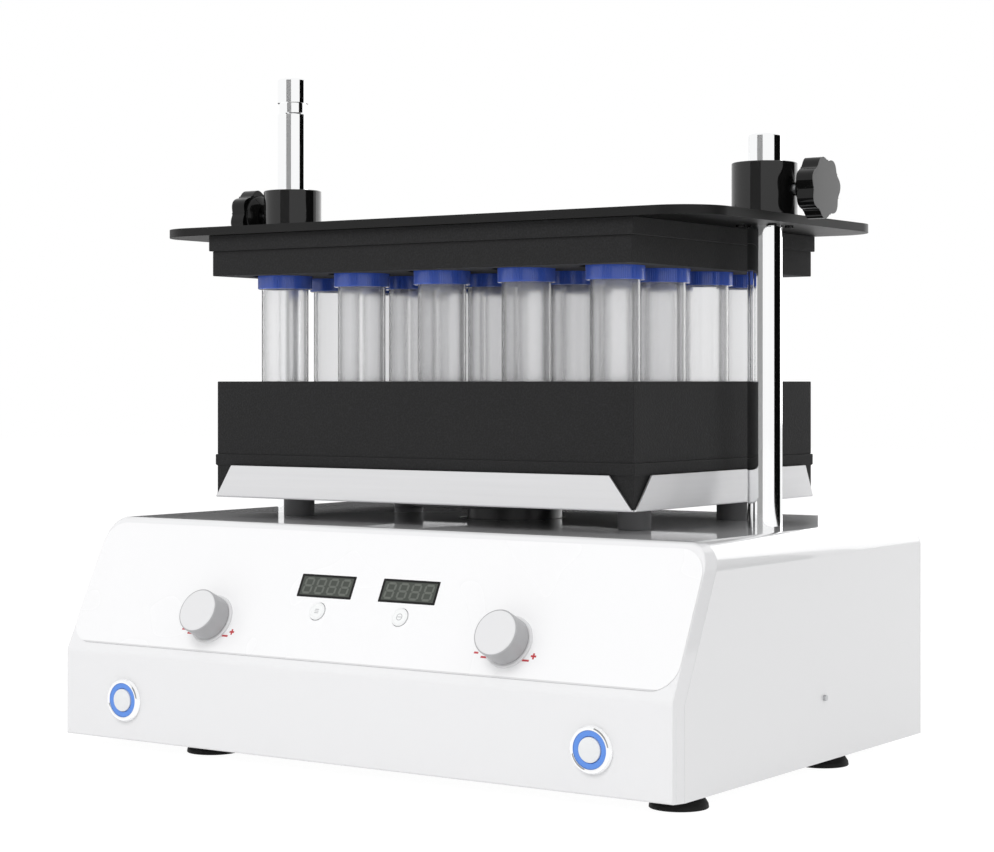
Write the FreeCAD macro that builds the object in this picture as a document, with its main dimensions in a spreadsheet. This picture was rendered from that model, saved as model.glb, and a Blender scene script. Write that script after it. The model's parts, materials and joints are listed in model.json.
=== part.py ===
# Multi-tube vortex mixer: a bench instrument that swirls a rack of capped tubes.
# Millimetres, +Z up, the bench at z = 0. X runs across the front, +Y towards the rear.
# The origin is on the bench under the middle of the case.

import FreeCAD, Part
import math
import os
import Sketcher
from FreeCAD import Placement, Rotation, Vector

# Driving sizes, written once here and kept in the document's sheet.
SIZES = {
    # Case
    "case_width": 450,
    "case_depth": 308,
    "case_height": 136,
    "foot_height": 7.4,
    "foot_radius": 16.5,
    "foot_top_radius": 13,
    "foot_left_inset": 97,
    "foot_right_inset": 18,
    "foot_front_inset": 33,
    "foot_rear_inset": 104,
    "slope_run": 41,
    "slope_rise": 82,
    "shoulder_radius": 16,
    "bend_radius": 8,
    "cover_sheet": 1.5,
    "front_sheet": 2,
    "pan_sheet": 2,
    "pan_side_edge": 46,
    "pan_end_edge": 10,
    "rear_sheet": 1.5,
    "screw_head_radius": 3.5,
    "screw_head_height": 1.6,
    "screw_shank_radius": 1.8,
    "screw_length": 8,
    "side_screw_y": 18,
    "side_screw_height": 37.6,
    # Control panel on the slanted face
    "overlay_thickness": 0.6,
    "overlay_margin": 3,
    "overlay_low": 5.3,
    "overlay_high": 87.5,
    "overlay_low_radius": 16,
    "display_width": 41.2,
    "display_height": 14.7,
    "display_x": 30.7,
    "display_shift": 1.2,
    "display_up": 52.4,
    "key_radius": 5.5,
    "key_up": 36.3,
    "key_travel": 0.8,
    "knob_x": 110,
    "knob_up": 26.4,
    "knob_radius": 14,
    "knob_reach": 16,
    "knob_ring_radius": 15.5,
    "knob_ring_height": 1.4,
    "encoder_bush_radius": 3.5,
    "encoder_shaft_radius": 2.5,
    "encoder_size": 12,
    "board_gap": 8,
    "board_thickness": 1.6,
    # Lit push buttons on the lower front
    "button_x": 172,
    "button_height": 25,
    "bezel_radius": 13.5,
    "bezel_height": 3,
    "barrel_radius": 11,
    "barrel_length": 28,
    "ring_outer_radius": 10.6,
    "ring_inner_radius": 7.3,
    "button_radius": 7,
    "button_travel": 2.5,
    # Drive
    "drive_y": 23,
    "crank_throw": 1.8,
    "chassis_thickness": 5,
    "chassis_overhang": 15,
    "chassis_depth": 180,
    "chassis_hole_radius": 34,
    "pillar_radius": 7,
    "pillar_inset": 11,
    "pillar_y": 72,
    "motor_radius": 48,
    "motor_height": 62,
    "motor_shaft_radius": 7,
    "motor_plate_size": 130,
    "motor_plate_thickness": 6,
    "standoff_radius": 6,
    "standoff_pitch": 106,
    "stack_gap": 8,
    "stud_length": 8,
    "hub_radius": 30.5,
    "hub_length": 46,
    "hub_flange_radius": 75,
    "hub_flange_thickness": 4,
    "bearing_outer_radius": 21,
    "bearing_bore_radius": 10,
    "bearing_width": 12,
    "bearing_ring": 3.2,
    "counterweight_radius": 42,
    "counterweight_height": 9,
    "running_clearance": 0.05,
    # Posts
    "post_side_gap": 14.7,
    "post_radius": 10.5,
    "left_post_length": 295.5,
    "right_post_length": 235.7,
    "groove_from_top": 24.5,
    "groove_width": 8,
    "groove_depth": 1.2,
    # Tray and rack
    "tray_gap": 13.5,
    "tray_width": 315.6,
    "tray_depth": 223.6,
    "tray_sheet": 1.2,
    "flap_height": 20.5,
    "flap_flare": 2,
    "notch_width": 14.5,
    "mount_radius": 10,
    "mount_x": 128,
    "mount_y": 60,
    "mount_cap_thickness": 2,
    "soft_clearance": 0.3,
    "pad_height": 26.2,
    "rack_height": 46.7,
    "rack_step": 0.9,
    "columns": 5,
    "rows": 4,
    "tube_pitch_x": 62.6,
    "tube_pitch_y": 53.2,
    "tube_radius": 15,
    "tube_wall": 1.2,
    "tube_length": 118.2,
    "tube_cone": 15,
    "tube_tip_radius": 4,
    "cap_radius": 17.5,
    "cap_height": 14,
    "cap_wall": 1.6,
    # Press
    "lower_foam_step": 0.3,
    "lower_foam_height": 16,
    "upper_foam_height": 10,
    "upper_foam_step": 1.8,
    "cap_sink": 5.7,
    "plate_overhang": 23.1,
    "plate_end_overhang": 5.7,
    "plate_corner": 30,
    "plate_thickness": 5.3,
    "collar_radius": 20,
    "collar_height": 32,
    "clamp_screw_radius": 4,
    "clamp_height": 15.5,
    "clamp_knob_radius": 18.5,
    "clamp_knob_head": 11,
    "clamp_knob_boss": 5.7,
    "clamp_knob_gap": 4.3,
    "clamp_lobes": 7,
    # Electrics on the bottom pan and the rear panel
    "supply_gap": 15,
    "supply_width": 78,
    "supply_front": 20,
    "supply_depth": 130,
    "supply_height": 42,
    "control_gap": 7,
    "control_width": 86,
    "inlet_inset": 75,
    "inlet_height": 40,
    "inlet_opening_width": 27.5,
    "inlet_opening_height": 20,
    "inlet_depth": 26,
    "inlet_flange_edge": 4,
    "inlet_wall": 2,
    "vent_columns": 3,
    "vent_rows": 8,
    "vent_length": 46,
    "vent_slot": 3,
    "vent_pitch": 7,
    "vent_space": 10,
    "vent_low": 52,
}

os.makedirs("parts", exist_ok=True)
doc = FreeCAD.newDocument("TubeMixer")
sheet = doc.addObject("Spreadsheet::Sheet", "Sizes")
for row, (alias, amount) in enumerate(SIZES.items(), start=1):
    sheet.set(f"A{row}", alias)
    sheet.set(f"B{row}", str(amount))
    sheet.setAlias(f"B{row}", alias)
doc.recompute()


class Size:
    """A length that knows its number and the formula that ties it to the sheet."""

    def __init__(self, number, formula):
        self.number = float(number)
        self.formula = formula

    def __add__(self, other):
        return Size(self.number + value(other), f"({self.formula} + {text(other)})")

    def __radd__(self, other):
        return Size(value(other) + self.number, f"({text(other)} + {self.formula})")

    def __sub__(self, other):
        return Size(self.number - value(other), f"({self.formula} - {text(other)})")

    def __rsub__(self, other):
        return Size(value(other) - self.number, f"({text(other)} - {self.formula})")

    def __mul__(self, other):
        return Size(self.number * value(other), f"({self.formula} * {text(other)})")

    def __rmul__(self, other):
        return Size(value(other) * self.number, f"({text(other)} * {self.formula})")

    def __truediv__(self, other):
        return Size(self.number / value(other), f"({self.formula} / {text(other)})")

    def __neg__(self):
        return Size(-self.number, f"(0 - {self.formula})")


def value(length):
    """The plain number of a size or a number."""
    return length.number if isinstance(length, Size) else float(length)


def text(length):
    """The formula of a size or a number."""
    return length.formula if isinstance(length, Size) else repr(float(length))


def number(amount):
    """A plain number as a size, for places that no other piece follows."""
    return Size(amount, repr(float(amount)))


class Sheet:
    """Reads a driving size by its name, as in dim.case_width."""

    def __getattr__(self, alias):
        return Size(SIZES[alias], f"Sizes.{alias}")


dim = Sheet()


def bind(thing, **lengths):
    """Tie properties of an object to sizes."""
    for name, length in lengths.items():
        thing.setExpression(name, text(length))


def put(thing, x=0, y=0, z=0):
    """Tie the place of an object to sizes."""
    for axis, length in zip("xyz", (x, y, z)):
        thing.setExpression(f"Placement.Base.{axis}", text(length))
    return thing


# Turns that lay a cylinder along an axis
ALONG = {
    "Z": Rotation(),
    "X": Rotation(Vector(0, 1, 0), 90),
    "Y": Rotation(Vector(1, 0, 0), -90),
}


def block(name, x, y, z):
    """A box between the two ends given on each axis."""
    box = doc.addObject("Part::Box", name)
    bind(box, Length=x[1] - x[0], Width=y[1] - y[0], Height=z[1] - z[0])
    return put(box, x[0], y[0], z[0])


def rod(name, radius, span, x=0, y=0, z=0, axis="Z"):
    """A cylinder along an axis, between two ends given from its own start point."""
    cylinder = doc.addObject("Part::Cylinder", name)
    bind(cylinder, Radius=radius, Height=span[1] - span[0])
    cylinder.Placement = Placement(Vector(), ALONG[axis])
    start = {"x": x, "y": y, "z": z}
    start[axis.lower()] = start[axis.lower()] + span[0]
    return put(cylinder, start["x"], start["y"], start["z"])


def cone(name, low_radius, high_radius, span, x=0, y=0):
    """An upright cone between two heights."""
    shape = doc.addObject("Part::Cone", name)
    bind(shape, Radius1=low_radius, Radius2=high_radius, Height=span[1] - span[0])
    return put(shape, x, y, span[0])


def fuse(name, *pieces):
    """One object of several shapes: joined where they touch, separate where they don't."""
    if len(pieces) == 1:
        return pieces[0]
    joined = doc.addObject("Part::MultiFuse", name)
    joined.Shapes = list(pieces)
    joined.Refine = True
    return joined


def cut(name, base, *tools):
    """The base with every tool taken away."""
    result = doc.addObject("Part::Cut", name)
    result.Base = base
    result.Tool = fuse(name + "_tools", *tools)
    result.Refine = True
    return result


def group(name, *pieces):
    """Separate solids of one kind, kept in one object."""
    together = doc.addObject("Part::Compound", name)
    together.Links = list(pieces)
    return together


def plane(body, role):
    """An origin plane of a body, such as XY_Plane."""
    return next(item for item in body.Origin.OriginFeatures if item.Role == role)


def body_of(name):
    """A new empty body."""
    return doc.addObject("PartDesign::Body", name)


def sketch_on(body, role, offset=0):
    """A sketch on an origin plane of its body, moved along the plane's normal."""
    sketch = body.newObject("Sketcher::SketchObject", body.Name + "_sketch")
    sketch.AttachmentSupport = [(plane(body, role), "")]
    sketch.MapMode = "FlatFace"
    sketch.setExpression("AttachmentOffset.Base.z", text(offset))
    return sketch


def hold(sketch, kind, *arguments):
    """A dimension of a sketch, tied to the size that ends its arguments."""
    length = arguments[-1]
    number = value(length)
    if abs(number) < 1e-9 and kind in ("DistanceX", "DistanceY"):
        line = -2 if kind == "DistanceX" else -1
        sketch.addConstraint(Sketcher.Constraint("PointOnObject", arguments[2], arguments[3], line))
        return
    index = sketch.addConstraint(Sketcher.Constraint(kind, *arguments[:-1], number))
    if isinstance(length, Size):
        sketch.setExpression(f"Constraints[{index}]", length.formula)


def draw_outline(sketch, points):
    """A closed outline of straight lines through points whose places are sizes."""
    first = sketch.GeometryCount
    corners = [Vector(value(x), value(y), 0) for x, y in points]
    count = len(corners)
    for i in range(count):
        sketch.addGeometry(Part.LineSegment(corners[i], corners[(i + 1) % count]), False)
    for i in range(count):
        following = first + (i + 1) % count
        sketch.addConstraint(Sketcher.Constraint("Coincident", first + i, 2, following, 1))
    for i, (x, y) in enumerate(points):
        hold(sketch, "DistanceX", -1, 1, first + i, 1, x)
        hold(sketch, "DistanceY", -1, 1, first + i, 1, y)


def pad(body, sketch, length, both_ways=False, flip=False):
    """Raise a sketch into the solid."""
    feature = body.newObject("PartDesign::Pad", body.Name + "_pad")
    feature.Profile = sketch
    feature.Midplane = both_ways
    feature.Reversed = flip
    bind(feature, Length=length)
    doc.recompute()
    return feature


def pocket(body, sketch, length, both_ways=False, flip=False):
    """Cut a sketch into the solid, and make sure that it took something away."""
    before = body.Shape.Volume
    feature = body.newObject("PartDesign::Pocket", body.Name + "_pocket")
    feature.Profile = sketch
    feature.Midplane = both_ways
    feature.Reversed = flip
    bind(feature, Length=length)
    doc.recompute()
    if body.Shape.Volume >= before - 1e-6:
        raise ValueError(f"a pocket in {body.Name} cuts nothing")
    return feature


def edges_where(shape, test):
    """The names of the edges whose two ends pass a test."""
    names = []
    for place, edge in enumerate(shape.Edges, start=1):
        ends = [vertex.Point for vertex in edge.Vertexes]
        if len(ends) == 2 and test(ends[0], ends[1]):
            names.append(f"Edge{place}")
    return names


def round_edges(body, radius, test):
    """Fillet the edges of a body that pass a test."""
    last = body.Tip
    feature = body.newObject("PartDesign::Fillet", body.Name + "_fillet")
    feature.Base = (last, edges_where(last.Shape, test))
    bind(feature, Radius=radius)
    doc.recompute()
    return feature


def upright(a, b):
    """True for an edge that runs straight up."""
    return abs(a.x - b.x) < 1e-6 and abs(a.y - b.y) < 1e-6


def slab(name, width, depth, span, corner=None, x=0, y=0):
    """A flat plate with rounded corners, centred at a place and lying between two heights."""
    body = body_of(name)
    sketch = sketch_on(body, "XY_Plane")
    half_width = width / 2
    half_depth = depth / 2
    draw_outline(sketch, [(-half_width, -half_depth), (half_width, -half_depth),
                          (half_width, half_depth), (-half_width, half_depth)])
    pad(body, sketch, span[1] - span[0])
    if corner is not None:
        round_edges(body, corner, upright)
    return put(body, x, y, span[0])


def four_places(x, y, y_centre=0):
    """The four corners of a rectangle of holes."""
    return [(sx * x, y_centre + sy * y) for sx in (-1, 1) for sy in (-1, 1)]


# Heights and places that follow from the driving sizes
case_top = dim.foot_height + dim.case_height
bend_height = case_top - dim.slope_rise
half_width = dim.case_width / 2
half_depth = dim.case_depth / 2
top_front_y = dim.slope_run - half_depth
tray_x = dim.crank_throw
post_x = dim.tray_width / 2 + dim.post_side_gap + dim.post_radius
tray_bottom = case_top + dim.tray_gap
pad_bottom = tray_bottom + dim.tray_sheet + dim.soft_clearance
pad_top = pad_bottom + dim.pad_height - dim.soft_clearance
rack_top = pad_top + dim.rack_height
tube_bottom = pad_top + dim.soft_clearance
cap_top = tube_bottom + dim.tube_length + dim.cap_wall
cap_bottom = cap_top - dim.cap_height
foam_bottom = cap_top - dim.cap_sink
foam_step = foam_bottom + dim.lower_foam_height
plate_bottom = foam_step + dim.upper_foam_height
plate_top = plate_bottom + dim.plate_thickness
collar_top = plate_top + dim.collar_height
clamp_z = plate_top + dim.clamp_height
tube_places = [
    (tray_x + (column - (SIZES["columns"] - 1) / 2) * dim.tube_pitch_x,
     dim.drive_y + (row - (SIZES["rows"] - 1) / 2) * dim.tube_pitch_y)
    for row in range(SIZES["rows"])
    for column in range(SIZES["columns"])
]
foot_places = [
    (x, y)
    for x in (dim.foot_left_inset - half_width, half_width - dim.foot_right_inset)
    for y in (dim.foot_front_inset - half_depth, half_depth - dim.foot_rear_inset)
]
slope_angle = math.degrees(math.atan2(SIZES["slope_run"], SIZES["slope_rise"]))
SLOPE = "atan(Sizes.slope_run / Sizes.slope_rise)"
panel_miter = Size(math.tan(math.radians(slope_angle / 2)), f"tan({SLOPE} / 2)")
panel_secant = Size(1 / math.cos(math.radians(slope_angle)), f"(1 / cos({SLOPE}))")


def on_panel(thing):
    """Lay an object, made flat with +Z outwards, on the slanted face above its bend."""
    thing.Placement = Placement(Vector(), Rotation(Vector(1, 0, 0), 90 - slope_angle))
    thing.setExpression("Placement.Rotation.Angle", f"90 deg - {SLOPE}")
    return put(thing, 0, -half_depth, bend_height)


def case_envelope(name, inset, top, rear):
    """The outer form of the case, with its front face moved back by an inset."""
    body = body_of(name)
    sketch = sketch_on(body, "XY_Plane", dim.foot_height)
    draw_outline(sketch, [(-half_width, inset - half_depth), (half_width, inset - half_depth),
                          (half_width, rear), (-half_width, rear)])
    pad(body, sketch, top - dim.foot_height)
    crown = value(top)

    def shoulder(a, b):
        return abs(a.x - b.x) < 1e-6 and all(abs(p.z - crown) < 1e-6 for p in (a, b))

    round_edges(body, dim.shoulder_radius, shoulder)
    front = sketch_on(body, "YZ_Plane")
    bend_y = inset - half_depth
    bend_z = bend_height - inset * panel_miter
    face_y = top_front_y + inset * panel_secant
    slope = dim.slope_run / dim.slope_rise
    over = dim.slope_rise / 4
    draw_outline(front, [(bend_y, bend_z), (face_y + slope * over, case_top + over),
                         (bend_y, case_top + over)])
    pocket(body, front, 2 * dim.case_width, both_ways=True)
    return body


def side_screw_hole(name):
    """A bore through both sides of the case for the two case screws."""
    reach = half_width + 1
    return rod(name, dim.screw_shank_radius / 2 + dim.running_clearance, (-reach, reach), 0,
               dim.side_screw_y, dim.foot_height + dim.side_screw_height, "X")


def make_top_cover():
    """One sheet wrapped over both sides and the deck, open at the front, rear and bottom."""
    outer = case_envelope("top_cover_outer", dim.front_sheet, case_top, half_depth - dim.rear_sheet)
    inner = body_of("top_cover_inner")
    sketch = sketch_on(inner, "XZ_Plane")
    side = half_width - dim.cover_sheet
    crown = case_top - dim.cover_sheet
    draw_outline(sketch, [(-side, number(0)), (side, number(0)), (side, crown), (-side, crown)])
    pad(inner, sketch, 2 * dim.case_depth, both_ways=True)
    crown_height = value(crown)

    def shoulder(a, b):
        return all(abs(p.z - crown_height) < 1e-6 for p in (a, b)) and abs(a.x - b.x) < 1e-6

    round_edges(inner, dim.shoulder_radius - dim.cover_sheet, shoulder)
    through = (case_top - 2 * dim.cover_sheet, case_top + 1)
    holes = [rod("deck_drive_hole", dim.chassis_hole_radius, through, 0, dim.drive_y)]
    holes += [rod("deck_post_hole", dim.post_radius, through, s * post_x, dim.drive_y)
              for s in (-1, 1)]
    holes += [rod("deck_mount_hole", dim.mount_radius / 3, through, x, y)
              for x, y in four_places(dim.mount_x, dim.mount_y, dim.drive_y)]
    holes.append(side_screw_hole("cover_screw_hole"))
    shell = cut("top_cover_shell", outer, inner)
    return cut("top_cover", shell, *holes)


def make_front_panel():
    """Bent front sheet with its slanted face, pierced for the controls."""
    body = case_envelope("front_panel_sheet", 0, case_top, half_depth)
    behind = sketch_on(body, "YZ_Plane")
    back = dim.front_sheet
    bend_z = bend_height - back * panel_miter
    draw_outline(behind, [(back - half_depth, 0), (back - half_depth, bend_z),
                          (top_front_y + back * panel_secant, case_top),
                          (half_depth + 1, case_top), (half_depth + 1, 0)])
    pocket(body, behind, 2 * dim.case_width, both_ways=True)
    bend_y = value(-half_depth)
    bend = value(bend_height)

    def front_bend(a, b):
        return all(abs(p.y - bend_y) < 1e-6 and abs(p.z - bend) < 1e-6 for p in (a, b))

    round_edges(body, dim.bend_radius, front_bend)
    depth = (-3 * dim.front_sheet, 3 * dim.front_sheet)
    tools = []
    for side in (-1, 1):
        tools.append(block("display_window_cut", *display_area(side), depth))
        tools.append(rod("key_cut", dim.key_radius + 0.6, depth, side * dim.display_x, dim.key_up))
        tools.append(rod("encoder_cut", dim.encoder_bush_radius, depth,
                         side * dim.knob_x, dim.knob_up))
    slanted = on_panel(group("panel_cuts", *tools))
    lower = [rod("button_cut", dim.barrel_radius, (-half_depth - 1, -half_depth + 5),
                 side * dim.button_x, 0, dim.foot_height + dim.button_height, "Y")
             for side in (-1, 1)]
    return cut("front_panel", body, slanted, *lower)


def make_rear_panel():
    """Flat rear sheet with the shape of the cover's opening, an inlet hole and cooling slots."""
    body = body_of("rear_panel_sheet")
    sketch = sketch_on(body, "XZ_Plane", -half_depth)
    draw_outline(sketch, [(-half_width, dim.foot_height), (half_width, dim.foot_height),
                          (half_width, case_top), (-half_width, case_top)])
    pad(body, sketch, dim.rear_sheet)
    crown = value(case_top)

    def top_corner(a, b):
        return all(abs(p.z - crown) < 1e-6 for p in (a, b)) and abs(a.x - b.x) < 1e-6

    round_edges(body, dim.shoulder_radius, top_corner)
    span = (half_depth - 3 * dim.rear_sheet, half_depth + 1)
    wide = dim.inlet_opening_width / 2
    tall = dim.inlet_opening_height / 2
    tools = [block("inlet_cut", (inlet_x - wide, inlet_x + wide), span, (inlet_z - tall, inlet_z + tall))]
    vent_left = supply_x[1] + dim.vent_slot
    for column in range(SIZES["vent_columns"]):
        for step in range(SIZES["vent_rows"]):
            left = vent_left + column * (dim.vent_length + dim.vent_space)
            low = dim.foot_height + dim.vent_low + step * dim.vent_pitch
            tools.append(block("vent_cut", (left, left + dim.vent_length), span,
                               (low, low + dim.vent_slot)))
    return cut("rear_panel", body, *tools)


# Where the inlet, the power supply and the control board lie
inlet_x = dim.inlet_inset - half_width
inlet_z = dim.foot_height + dim.inlet_height
pillar_inside = post_x - dim.pillar_inset - dim.pillar_radius
supply_x = (dim.supply_gap - pillar_inside, dim.supply_gap - pillar_inside + dim.supply_width)
supply_y = (-dim.supply_front, dim.supply_depth - dim.supply_front)
board_x = (pillar_inside - dim.control_gap - dim.control_width, pillar_inside - dim.control_gap)


def make_bottom_pan():
    """Flat base plate with upturned edges inside the case."""
    gap = dim.soft_clearance
    left = gap + dim.cover_sheet - half_width
    right = -left
    front = dim.front_sheet + gap - half_depth
    rear = half_depth - dim.rear_sheet - gap
    floor = dim.foot_height + dim.pan_sheet
    outer = block("pan_outer", (left, right), (front, rear),
                  (dim.foot_height, dim.foot_height + dim.pan_side_edge))
    inside = (left + dim.pan_sheet, right - dim.pan_sheet)
    inner = block("pan_inner", inside, (front + dim.pan_sheet, rear - dim.pan_sheet),
                  (floor, floor + dim.pan_side_edge))
    low_ends = block("pan_low_ends", inside, (front - 1, rear + 1),
                     (dim.foot_height + dim.pan_end_edge, floor + dim.pan_side_edge))
    holes = [rod("foot_screw_hole", dim.screw_shank_radius,
                 (dim.foot_height - 1, dim.foot_height + dim.pan_sheet + 1), x, y)
             for x, y in foot_places]
    holes.append(side_screw_hole("pan_screw_hole"))
    return cut("bottom_pan", outer, inner, low_ends, *holes)


def make_feet():
    """Four black rubber feet, wider at the bench, with a recess for the screw head."""
    feet = []
    for x, y in foot_places:
        form = cone("foot_form", dim.foot_radius, dim.foot_top_radius, (number(0), dim.foot_height),
                    x, y)
        recess = rod("foot_recess", dim.screw_head_radius * 1.3, (number(-1), dim.foot_height / 2),
                     x, y)
        shank = rod("foot_shank_hole", dim.screw_shank_radius, (number(0), dim.foot_height + 1), x, y)
        feet.append(cut("foot", form, recess, shank))
    return group("feet", *feet)


def make_foot_screws():
    """Pan-head screws that hold the feet."""
    screws = []
    for x, y in foot_places:
        seat = dim.foot_height / 2
        head = rod("foot_screw_head", dim.screw_head_radius, (seat - dim.screw_head_height, seat), x, y)
        shank = rod("foot_screw_shank", dim.screw_shank_radius,
                    (seat - 0.5, dim.foot_height + dim.pan_sheet), x, y)
        screws.append(fuse("foot_screw", head, shank))
    return group("foot_screws", *screws)


def panel_plate(name, width, height, span, corner, x, up):
    """A rounded plate that lies on the slanted face between two heights above it."""
    return on_panel_group(name, [slab(name + "_plate", width, height, span, corner, x, up)])


def on_panel_group(name, pieces):
    """Several solids made flat, laid on the slanted face together."""
    return on_panel(group(name, *pieces))


def display_area(side):
    """Where a display lies on the slanted face, across and up; both stand a little to the right."""
    x = side * dim.display_x + dim.display_shift
    return ((x - dim.display_width / 2, x + dim.display_width / 2),
            (dim.display_up - dim.display_height / 2, dim.display_up + dim.display_height / 2))


def make_panel_overlay():
    """Printed film over the slanted face, with its corners rounded and holes for the keys."""
    width = dim.case_width - 2 * dim.overlay_margin
    height = dim.overlay_high - dim.overlay_low
    up = (dim.overlay_high + dim.overlay_low) / 2
    span = (number(0), dim.overlay_thickness)
    film = slab("overlay_film", width, height, span, dim.overlay_low_radius, 0, up)
    depth = (number(-1), dim.overlay_thickness + 1)
    tools = []
    for side in (-1, 1):
        tools.append(rod("overlay_key_hole", dim.key_radius + 0.3, depth,
                         side * dim.display_x, dim.key_up))
        tools.append(rod("overlay_knob_hole", dim.encoder_bush_radius, depth,
                         side * dim.knob_x, dim.knob_up))
        tools.append(block("overlay_window_hole", *display_area(side), depth))
    return on_panel_group("panel_overlay", [cut("overlay_cut", film, *tools)])


def make_display_windows():
    """Dark windows, flush with the film."""
    return on_panel_group("display_windows", [
        block("display_window", *display_area(side), (-dim.front_sheet, dim.overlay_thickness))
        for side in (-1, 1)])


def make_display_modules():
    """Four-digit display blocks behind the windows, on the board."""
    return on_panel_group("display_modules", [
        block("display_module", *display_area(side), (-dim.front_sheet - dim.board_gap, -dim.front_sheet))
        for side in (-1, 1)])


def make_display_board():
    """Circuit board behind the slanted face, carrying the displays, key switches and encoders."""
    back = -dim.front_sheet - dim.board_gap
    width = 2 * dim.knob_x + 3 * dim.encoder_size
    height = dim.display_up + dim.display_height / 2 + 4 - (dim.knob_up - dim.encoder_size)
    up = (dim.display_up + dim.display_height / 2 + 4 + dim.knob_up - dim.encoder_size) / 2
    return panel_plate("display_board", width, height, (back - dim.board_thickness, back),
                       number(2), 0, up)


def board_spacer_places():
    """Where the board is screwed to the panel."""
    return [(side * (dim.knob_x - dim.encoder_size * 2), up)
            for side in (-1, 1) for up in (dim.key_up - dim.encoder_size, dim.display_up + 4)]


def make_board_spacers():
    """Spacers that carry the two boards, off the slanted face and off the pan."""
    radius = dim.screw_head_radius - 0.5
    back = -dim.front_sheet - dim.board_gap
    upper = on_panel_group("panel_spacers", [
        rod("panel_spacer", radius, (back, -dim.front_sheet), x, up)
        for x, up in board_spacer_places()])
    floor = dim.foot_height + dim.pan_sheet
    lower = [rod("pan_spacer", radius, (floor, floor + dim.board_gap), x, y)
             for x in (board_x[0] + 2 * radius, board_x[1] - 2 * radius)
             for y in (supply_y[0] + 2 * radius, supply_y[1] - 2 * radius)]
    return group("board_spacers", upper, *lower)


def make_encoders():
    """Rotary encoders on the board, with a bored bush through the panel."""
    pieces = []
    half = dim.encoder_size / 2
    for side in (-1, 1):
        x = side * dim.knob_x
        case = block("encoder_case", (x - half, x + half), (dim.knob_up - half, dim.knob_up + half),
                     (-dim.front_sheet - dim.board_gap, -dim.front_sheet))
        bush = rod("encoder_bush", dim.encoder_bush_radius,
                   (-dim.front_sheet - 1, dim.overlay_thickness + dim.knob_ring_height), x, dim.knob_up)
        bore = rod("encoder_bore", dim.encoder_shaft_radius + dim.running_clearance,
                   (-dim.front_sheet - dim.board_gap / 2, dim.knob_reach), x, dim.knob_up)
        pieces.append(cut("encoder", fuse("encoder_solid", case, bush), bore))
    return on_panel_group("encoders", pieces)


def make_knob_rings():
    """Thin rings on the film round each knob."""
    pieces = []
    for side in (-1, 1):
        x = side * dim.knob_x
        ring = rod("knob_ring_form", dim.knob_ring_radius,
                   (dim.overlay_thickness, dim.overlay_thickness + dim.knob_ring_height), x, dim.knob_up)
        hole = rod("knob_ring_hole", dim.encoder_bush_radius,
                   (number(0), dim.knob_reach), x, dim.knob_up)
        pieces.append(cut("knob_ring", ring, hole))
    return on_panel_group("knob_rings", pieces)


def make_control_knob(name, side):
    """Round knob with a shallow rim chamfer, and the shaft that turns in the encoder."""
    x = side * dim.knob_x
    low = dim.overlay_thickness + dim.knob_ring_height + dim.soft_clearance
    edge = number(1.2)
    barrel = rod(name + "_barrel", dim.knob_radius, (low, dim.knob_reach - edge), x, dim.knob_up)
    crown = cone(name + "_crown", dim.knob_radius, dim.knob_radius - edge,
                 (dim.knob_reach - edge, dim.knob_reach), x, dim.knob_up)
    shaft = rod(name + "_shaft", dim.encoder_shaft_radius,
                (-dim.front_sheet - dim.board_gap / 2 + dim.soft_clearance, low + 1), x, dim.knob_up)
    return on_panel_group(name, [fuse(name + "_solid", barrel, crown, shaft)])


def make_key(name, side):
    """Small round key with a stem that reaches its switch."""
    x = side * dim.display_x
    head = rod(name + "_head", dim.key_radius, (-dim.front_sheet, dim.overlay_thickness + dim.key_travel),
               x, dim.key_up)
    stem = rod(name + "_stem", dim.key_radius / 3, (-dim.front_sheet - 1.5, -dim.front_sheet + 0.5),
               x, dim.key_up)
    return on_panel_group(name, [fuse(name + "_solid", head, stem)])


def make_key_switches():
    """Small switches on the board under the keys."""
    back = -dim.front_sheet - dim.board_gap
    half = dim.encoder_size / 4
    top = -dim.front_sheet - 1.5 - dim.key_travel - 0.1
    return on_panel_group("key_switches", [
        block("key_switch", (side * dim.display_x - half, side * dim.display_x + half),
              (dim.key_up - half, dim.key_up + half), (back, top))
        for side in (-1, 1)])


def front_rod(name, radius, out, inwards, side):
    """A cylinder on a push button's axis, from how far out to how far into the case."""
    return rod(name, radius, (-half_depth - out, inwards - half_depth), side * dim.button_x, 0,
               dim.foot_height + dim.button_height, "Y")


def make_button_bodies():
    """Metal button housings: a flange outside and a threaded barrel behind the panel."""
    pieces = []
    for side in (-1, 1):
        flange = front_rod("button_flange", dim.bezel_radius, dim.bezel_height, number(0), side)
        barrel = front_rod("button_barrel", dim.barrel_radius, number(0), dim.barrel_length, side)
        seat = front_rod("button_seat", dim.ring_outer_radius, dim.bezel_height + 1, number(6), side)
        bore = front_rod("button_bore", dim.ring_inner_radius, number(0), dim.barrel_length / 2, side)
        pieces.append(cut("button_body", fuse("button_solid", flange, barrel), seat, bore))
    return group("button_bodies", *pieces)


def make_light_rings():
    """Rings that light up blue round each button."""
    pieces = []
    for side in (-1, 1):
        ring = front_rod("light_ring_form", dim.ring_outer_radius, dim.bezel_height - 0.6, number(6), side)
        hole = front_rod("light_ring_hole", dim.ring_inner_radius, dim.bezel_height + 1, number(7), side)
        pieces.append(cut("light_ring", ring, hole))
    return group("light_rings", *pieces)


def make_button_nuts():
    """Round nuts that clamp the buttons behind the front panel."""
    pieces = []
    for side in (-1, 1):
        nut = front_rod("button_nut_form", dim.bezel_radius, -dim.front_sheet, dim.front_sheet + 3.5, side)
        hole = front_rod("button_nut_hole", dim.barrel_radius, number(0), dim.barrel_length, side)
        pieces.append(cut("button_nut", nut, hole))
    return group("button_nuts", *pieces)


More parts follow.
